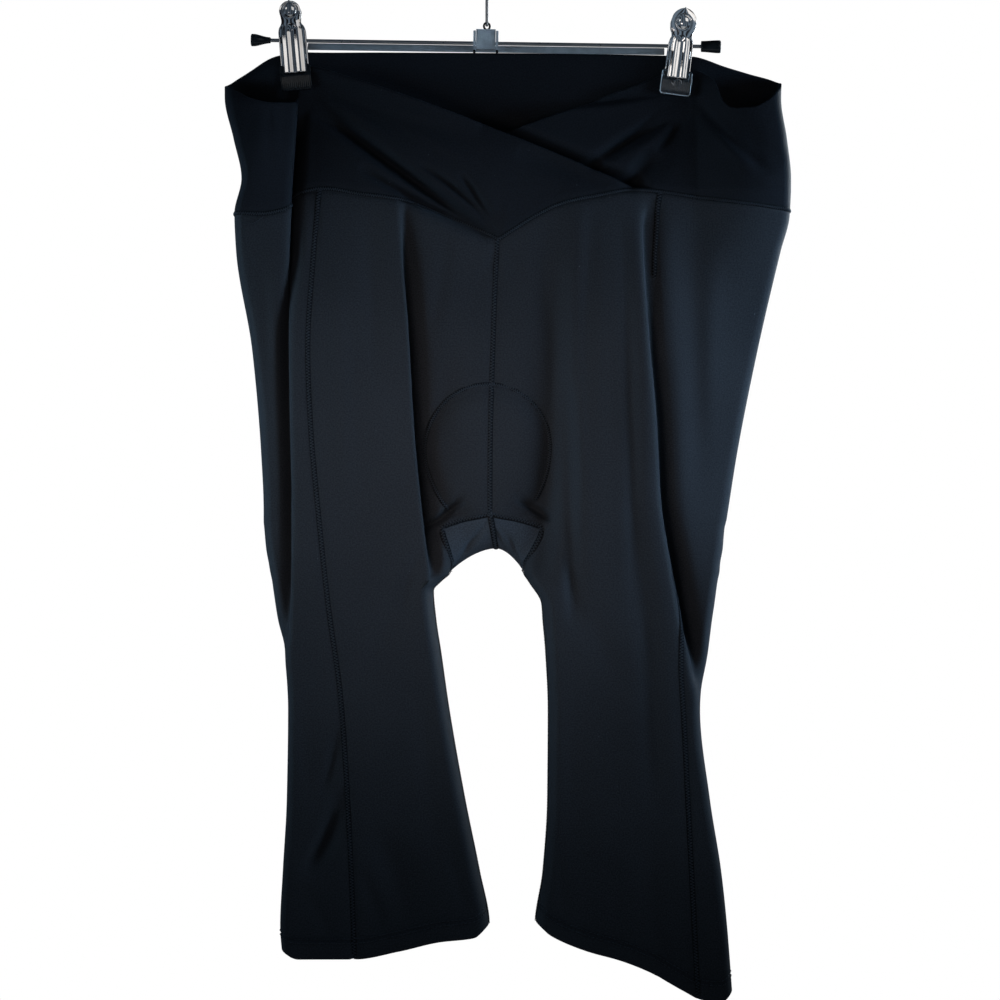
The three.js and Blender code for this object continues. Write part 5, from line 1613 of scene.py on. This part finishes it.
def pad_part(face):
    """The section, carried along the rod; it shrinks towards its middle at both rounded ends, and a
    sine of the distance along gives it ribs."""
    width = SLEEVE.half * 2
    corner = np.linspace(0, 1, 7) * SLEEVE.end
    even = np.linspace(SLEEVE.end, width - SLEEVE.end, 90)[1:-1]
    run = np.concatenate([corner, even, width - corner[::-1]])
    near = np.clip(np.minimum(run, width - run) / SLEEVE.end, 0, 1)
    scale = mix(SLEEVE.shrink, 1, np.sqrt(1 - (1 - near) ** 2))[:, None]
    out, up = (middle + (line - middle) * scale
               for line, middle in zip(PAD_SECTION.T, PAD_SECTION.mean(axis=0)))
    ribbed = (PAD_SECTION[:, 0] > GRIP.out) & (PAD_SECTION[:, 1] < GRIP.up)
    out = out + GRIP.deep * np.sin(run * math.tau / GRIP.pitch)[:, None] * ribbed
    return closed_tube(np.stack([run[:, None] - SLEEVE.half + 0 * out, face * out, up], axis=-1))


def spring_part():
    """A coil about the rod: circle and steady advance."""
    turn = np.linspace(0, 1, SPRING.turns * 28)
    angle = math.tau * SPRING.turns * turn
    path = np.stack([(turn - 0.5) * SPRING.turns * SPRING.pitch, SPRING.radius * np.cos(angle),
                     SPRING.radius * np.sin(angle)], axis=-1)
    return wire(path, SPRING.wire, WIDTH_WAY, 10)


def on_pad(points):
    """From places on the front of a pad to its place on the right clip."""
    across, up = np.array(points, float).T
    return on_clip(np.stack([across, 0 * across - RIM.out, up], axis=-1), CLIPS["right"])


for side, clip in CLIPS.items():
    look = black_rubber if side == "left" else smoky_plastic
    place = lambda points, clip=clip: on_clip(points, clip)
    for face, word in FACES:
        fixed(f"pad_{side}_{word}", pad_part(face), place, look, f"clip_{side}_pad_{word}",
              slot="black_rubber")
    fixed(f"spring_{side}", spring_part(), place, wire_steel, f"clip_{side}_spring", slot="steel")

rim = [(RIM.half, RIM.top), (RIM.half + RIM.swell, RIM.middle),
       (RIM.half + RIM.swell / 2, RIM.low), (RIM.half - RIM.corner, RIM.foot)]
rim_path = [(-x, up) for x, up in rim] + [(0, RIM.foot)] + rim[::-1]
t = np.linspace(0, 1, 40)
tongue_path = np.stack([mix(*TONGUE.x, t) + TONGUE.sway * np.sin(t * TONGUE.turn),
                        TONGUE.up - TONGUE.hang * np.sin(t * TONGUE.bend)], axis=-1)
fixed("pad_right_rim", wire(on_pad(rim_path), RIM.wire, DEPTH_WAY, 10), lambda p: p,
      clear_plastic, slot="black_rubber")
fixed("pad_right_tongue", wire(on_pad(tongue_path), RIM.wire, DEPTH_WAY, 8), lambda p: p,
      wire_steel, slot="steel")

for name in ("centre_block", "cheek_left", "cheek_right"):
    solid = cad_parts[name]
    solid.data.materials.clear()
    solid.data.materials.append(clear_plastic)
print("two clips with pads and springs")

# %% [markdown]
# Every panel is a sheet of cloth that stands in for one solid of the frame, and that solid is
# hidden here.
# Its flat size, as it was cut, comes from the lengths and the area of the grid, because cloth that
# only hangs keeps its size.


def hangs(node_name):
    """Hides the solid that a panel stands for."""
    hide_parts(node_name)


hangs("band_over")
hangs("band_under")
hangs("band_back")
hangs("front_left")
hangs("front_right")
hangs("side_back_left")
hangs("side_back_right")
hangs("gusset")

# %% [markdown]
# A pale round floor lies well below the hems, large enough to catch a soft shadow in the higher
# views and too small to reach into the front view.

# %% Floor
FLOOR_DOWN = 2100
FLOOR_RADIUS = 1450
FLOOR_RINGS, FLOOR_SIDES = 12, 96


def floor_finish():
    """Warm white with the faint mottling of a painted board, glowing a little in place of the large
    lamps that would light a studio's floor."""
    made, tree, shader = finish("floor_paint", Roughness=0.75, Specular_IOR_Level=0.2,
                                Emission_Strength=0.3)
    place = node(tree, "TexCoord").outputs["Object"]
    clouded(tree, shader, place, 5, 4.0, (0.3, (0.80, 0.80, 0.79)), (0.7, (0.86, 0.86, 0.85)))
    shader.inputs["Emission Color"].default_value = (1, 0.99, 0.97, 1)
    return made


angle = np.linspace(0, math.tau, FLOOR_SIDES, endpoint=False)
reach = np.linspace(1, FLOOR_RADIUS, FLOOR_RINGS)[:, None]
floor_points = np.stack([reach * np.cos(angle), reach * np.sin(angle),
                         np.full((FLOOR_RINGS, FLOOR_SIDES), -FLOOR_DOWN)], axis=-1)
floor_mesh = bpy.data.meshes.new("floor")
index = np.arange(FLOOR_RINGS * FLOOR_SIDES).reshape(FLOOR_RINGS, FLOOR_SIDES)
floor_faces = np.concatenate([quads(wider, closer)[:, ::-1]
                              for closer, wider in zip(index, index[1:])])
floor_mesh.from_pydata((floor_points.reshape(-1, 3) * MM).tolist(), [],
                       floor_faces.tolist() + [index[0].tolist()])
floor_mesh.materials.append(floor_finish())
floor = bpy.data.objects.new("floor", floor_mesh)
bpy.context.scene.collection.objects.link(floor)
print("floor at", -FLOOR_DOWN * MM, "m")

# %% [markdown]
# Two small bluish lamps stand close by at the sides and a weak one in front, all at half height
# with narrow beams, so the wings and the lower legs shine faintly while the middle stays nearly
# black. Large soft lamps would be simpler, but they light the whole cloth alike. Nothing mirrors
# the side lamps, and the two cards are seen only by what mirrors them, the metal. The world is
# white where the camera sees it, and dark bands elsewhere.

# %% Light
def soft_light(name, place, size, power, colour, beam=180, aim_z=VIEW_CENTRE[1], mirrored=True,
               lights_cloth=True):
    """An area light that faces the garment at a height, with a beam in degrees. One that isn't
    mirrored leaves no highlight, and one that doesn't light the cloth is a card for the metal."""
    light = bpy.data.lights.new(name, "AREA")
    light.shape, light.size, light.energy, light.color = "SQUARE", size, power, colour
    light.spread = math.radians(beam)
    made = bpy.data.objects.new(name, light)
    bpy.context.scene.collection.objects.link(made)
    made.visible_camera = False
    made.visible_glossy = mirrored
    made.visible_diffuse = lights_cloth
    made.location = place
    aim = np.array([VIEW_CENTRE[0], 0, aim_z]) - np.array(place)
    flat = math.hypot(aim[0], aim[1])
    made.rotation_euler = (math.atan2(flat, -aim[2]), 0, math.atan2(-aim[0], aim[1]))


soft_light("light_left", (-0.80, -0.22, -0.37), 0.4, 1.2, (0.50, 0.77, 1.0), 54, -0.37, False)
soft_light("light_right", (0.85, -0.16, -0.34), 0.4, 2.6, (0.50, 0.74, 1.0), 52, -0.35, False)
soft_light("light_front", (-0.16, -0.46, -0.41), 0.3, 0.22, (1.0, 0.92, 0.90), 60, -0.39)
soft_light("light_back", (0.75, 0.65, -0.15), 0.5, 7, (0.82, 0.92, 1.0))
soft_light("card_right", (1.2, -1.5, 0.3), 1.2, 4.5, (1.0, 0.97, 0.94), lights_cloth=False)
soft_light("card_left", (-1.3, -1.1, 0.2), 0.5, 1.2, (1.0, 0.98, 0.96), lights_cloth=False)

world = bpy.data.worlds.new("studio")
bpy.context.scene.world = world
world.use_nodes = True
tree = world.node_tree
background = tree.nodes["Background"]
seen = node(tree, "LightPath").outputs["Is Camera Ray"]
bands = node(tree, "TexWave", wave_type="BANDS", bands_direction="X", Scale=0.9, Distortion=0.5)
tree.links.new(node(tree, "TexCoord").outputs["Generated"], bands.inputs["Vector"])
studio = ramp(tree, bands.outputs["Fac"], (0.3, (0.01, 0.011, 0.013)), (0.75, (0.14, 0.19, 0.25)))
tree.links.new(blend(tree, seen, studio, (1, 1, 1)), background.inputs["Color"])
bpy.context.scene.view_settings.view_transform = "Standard"
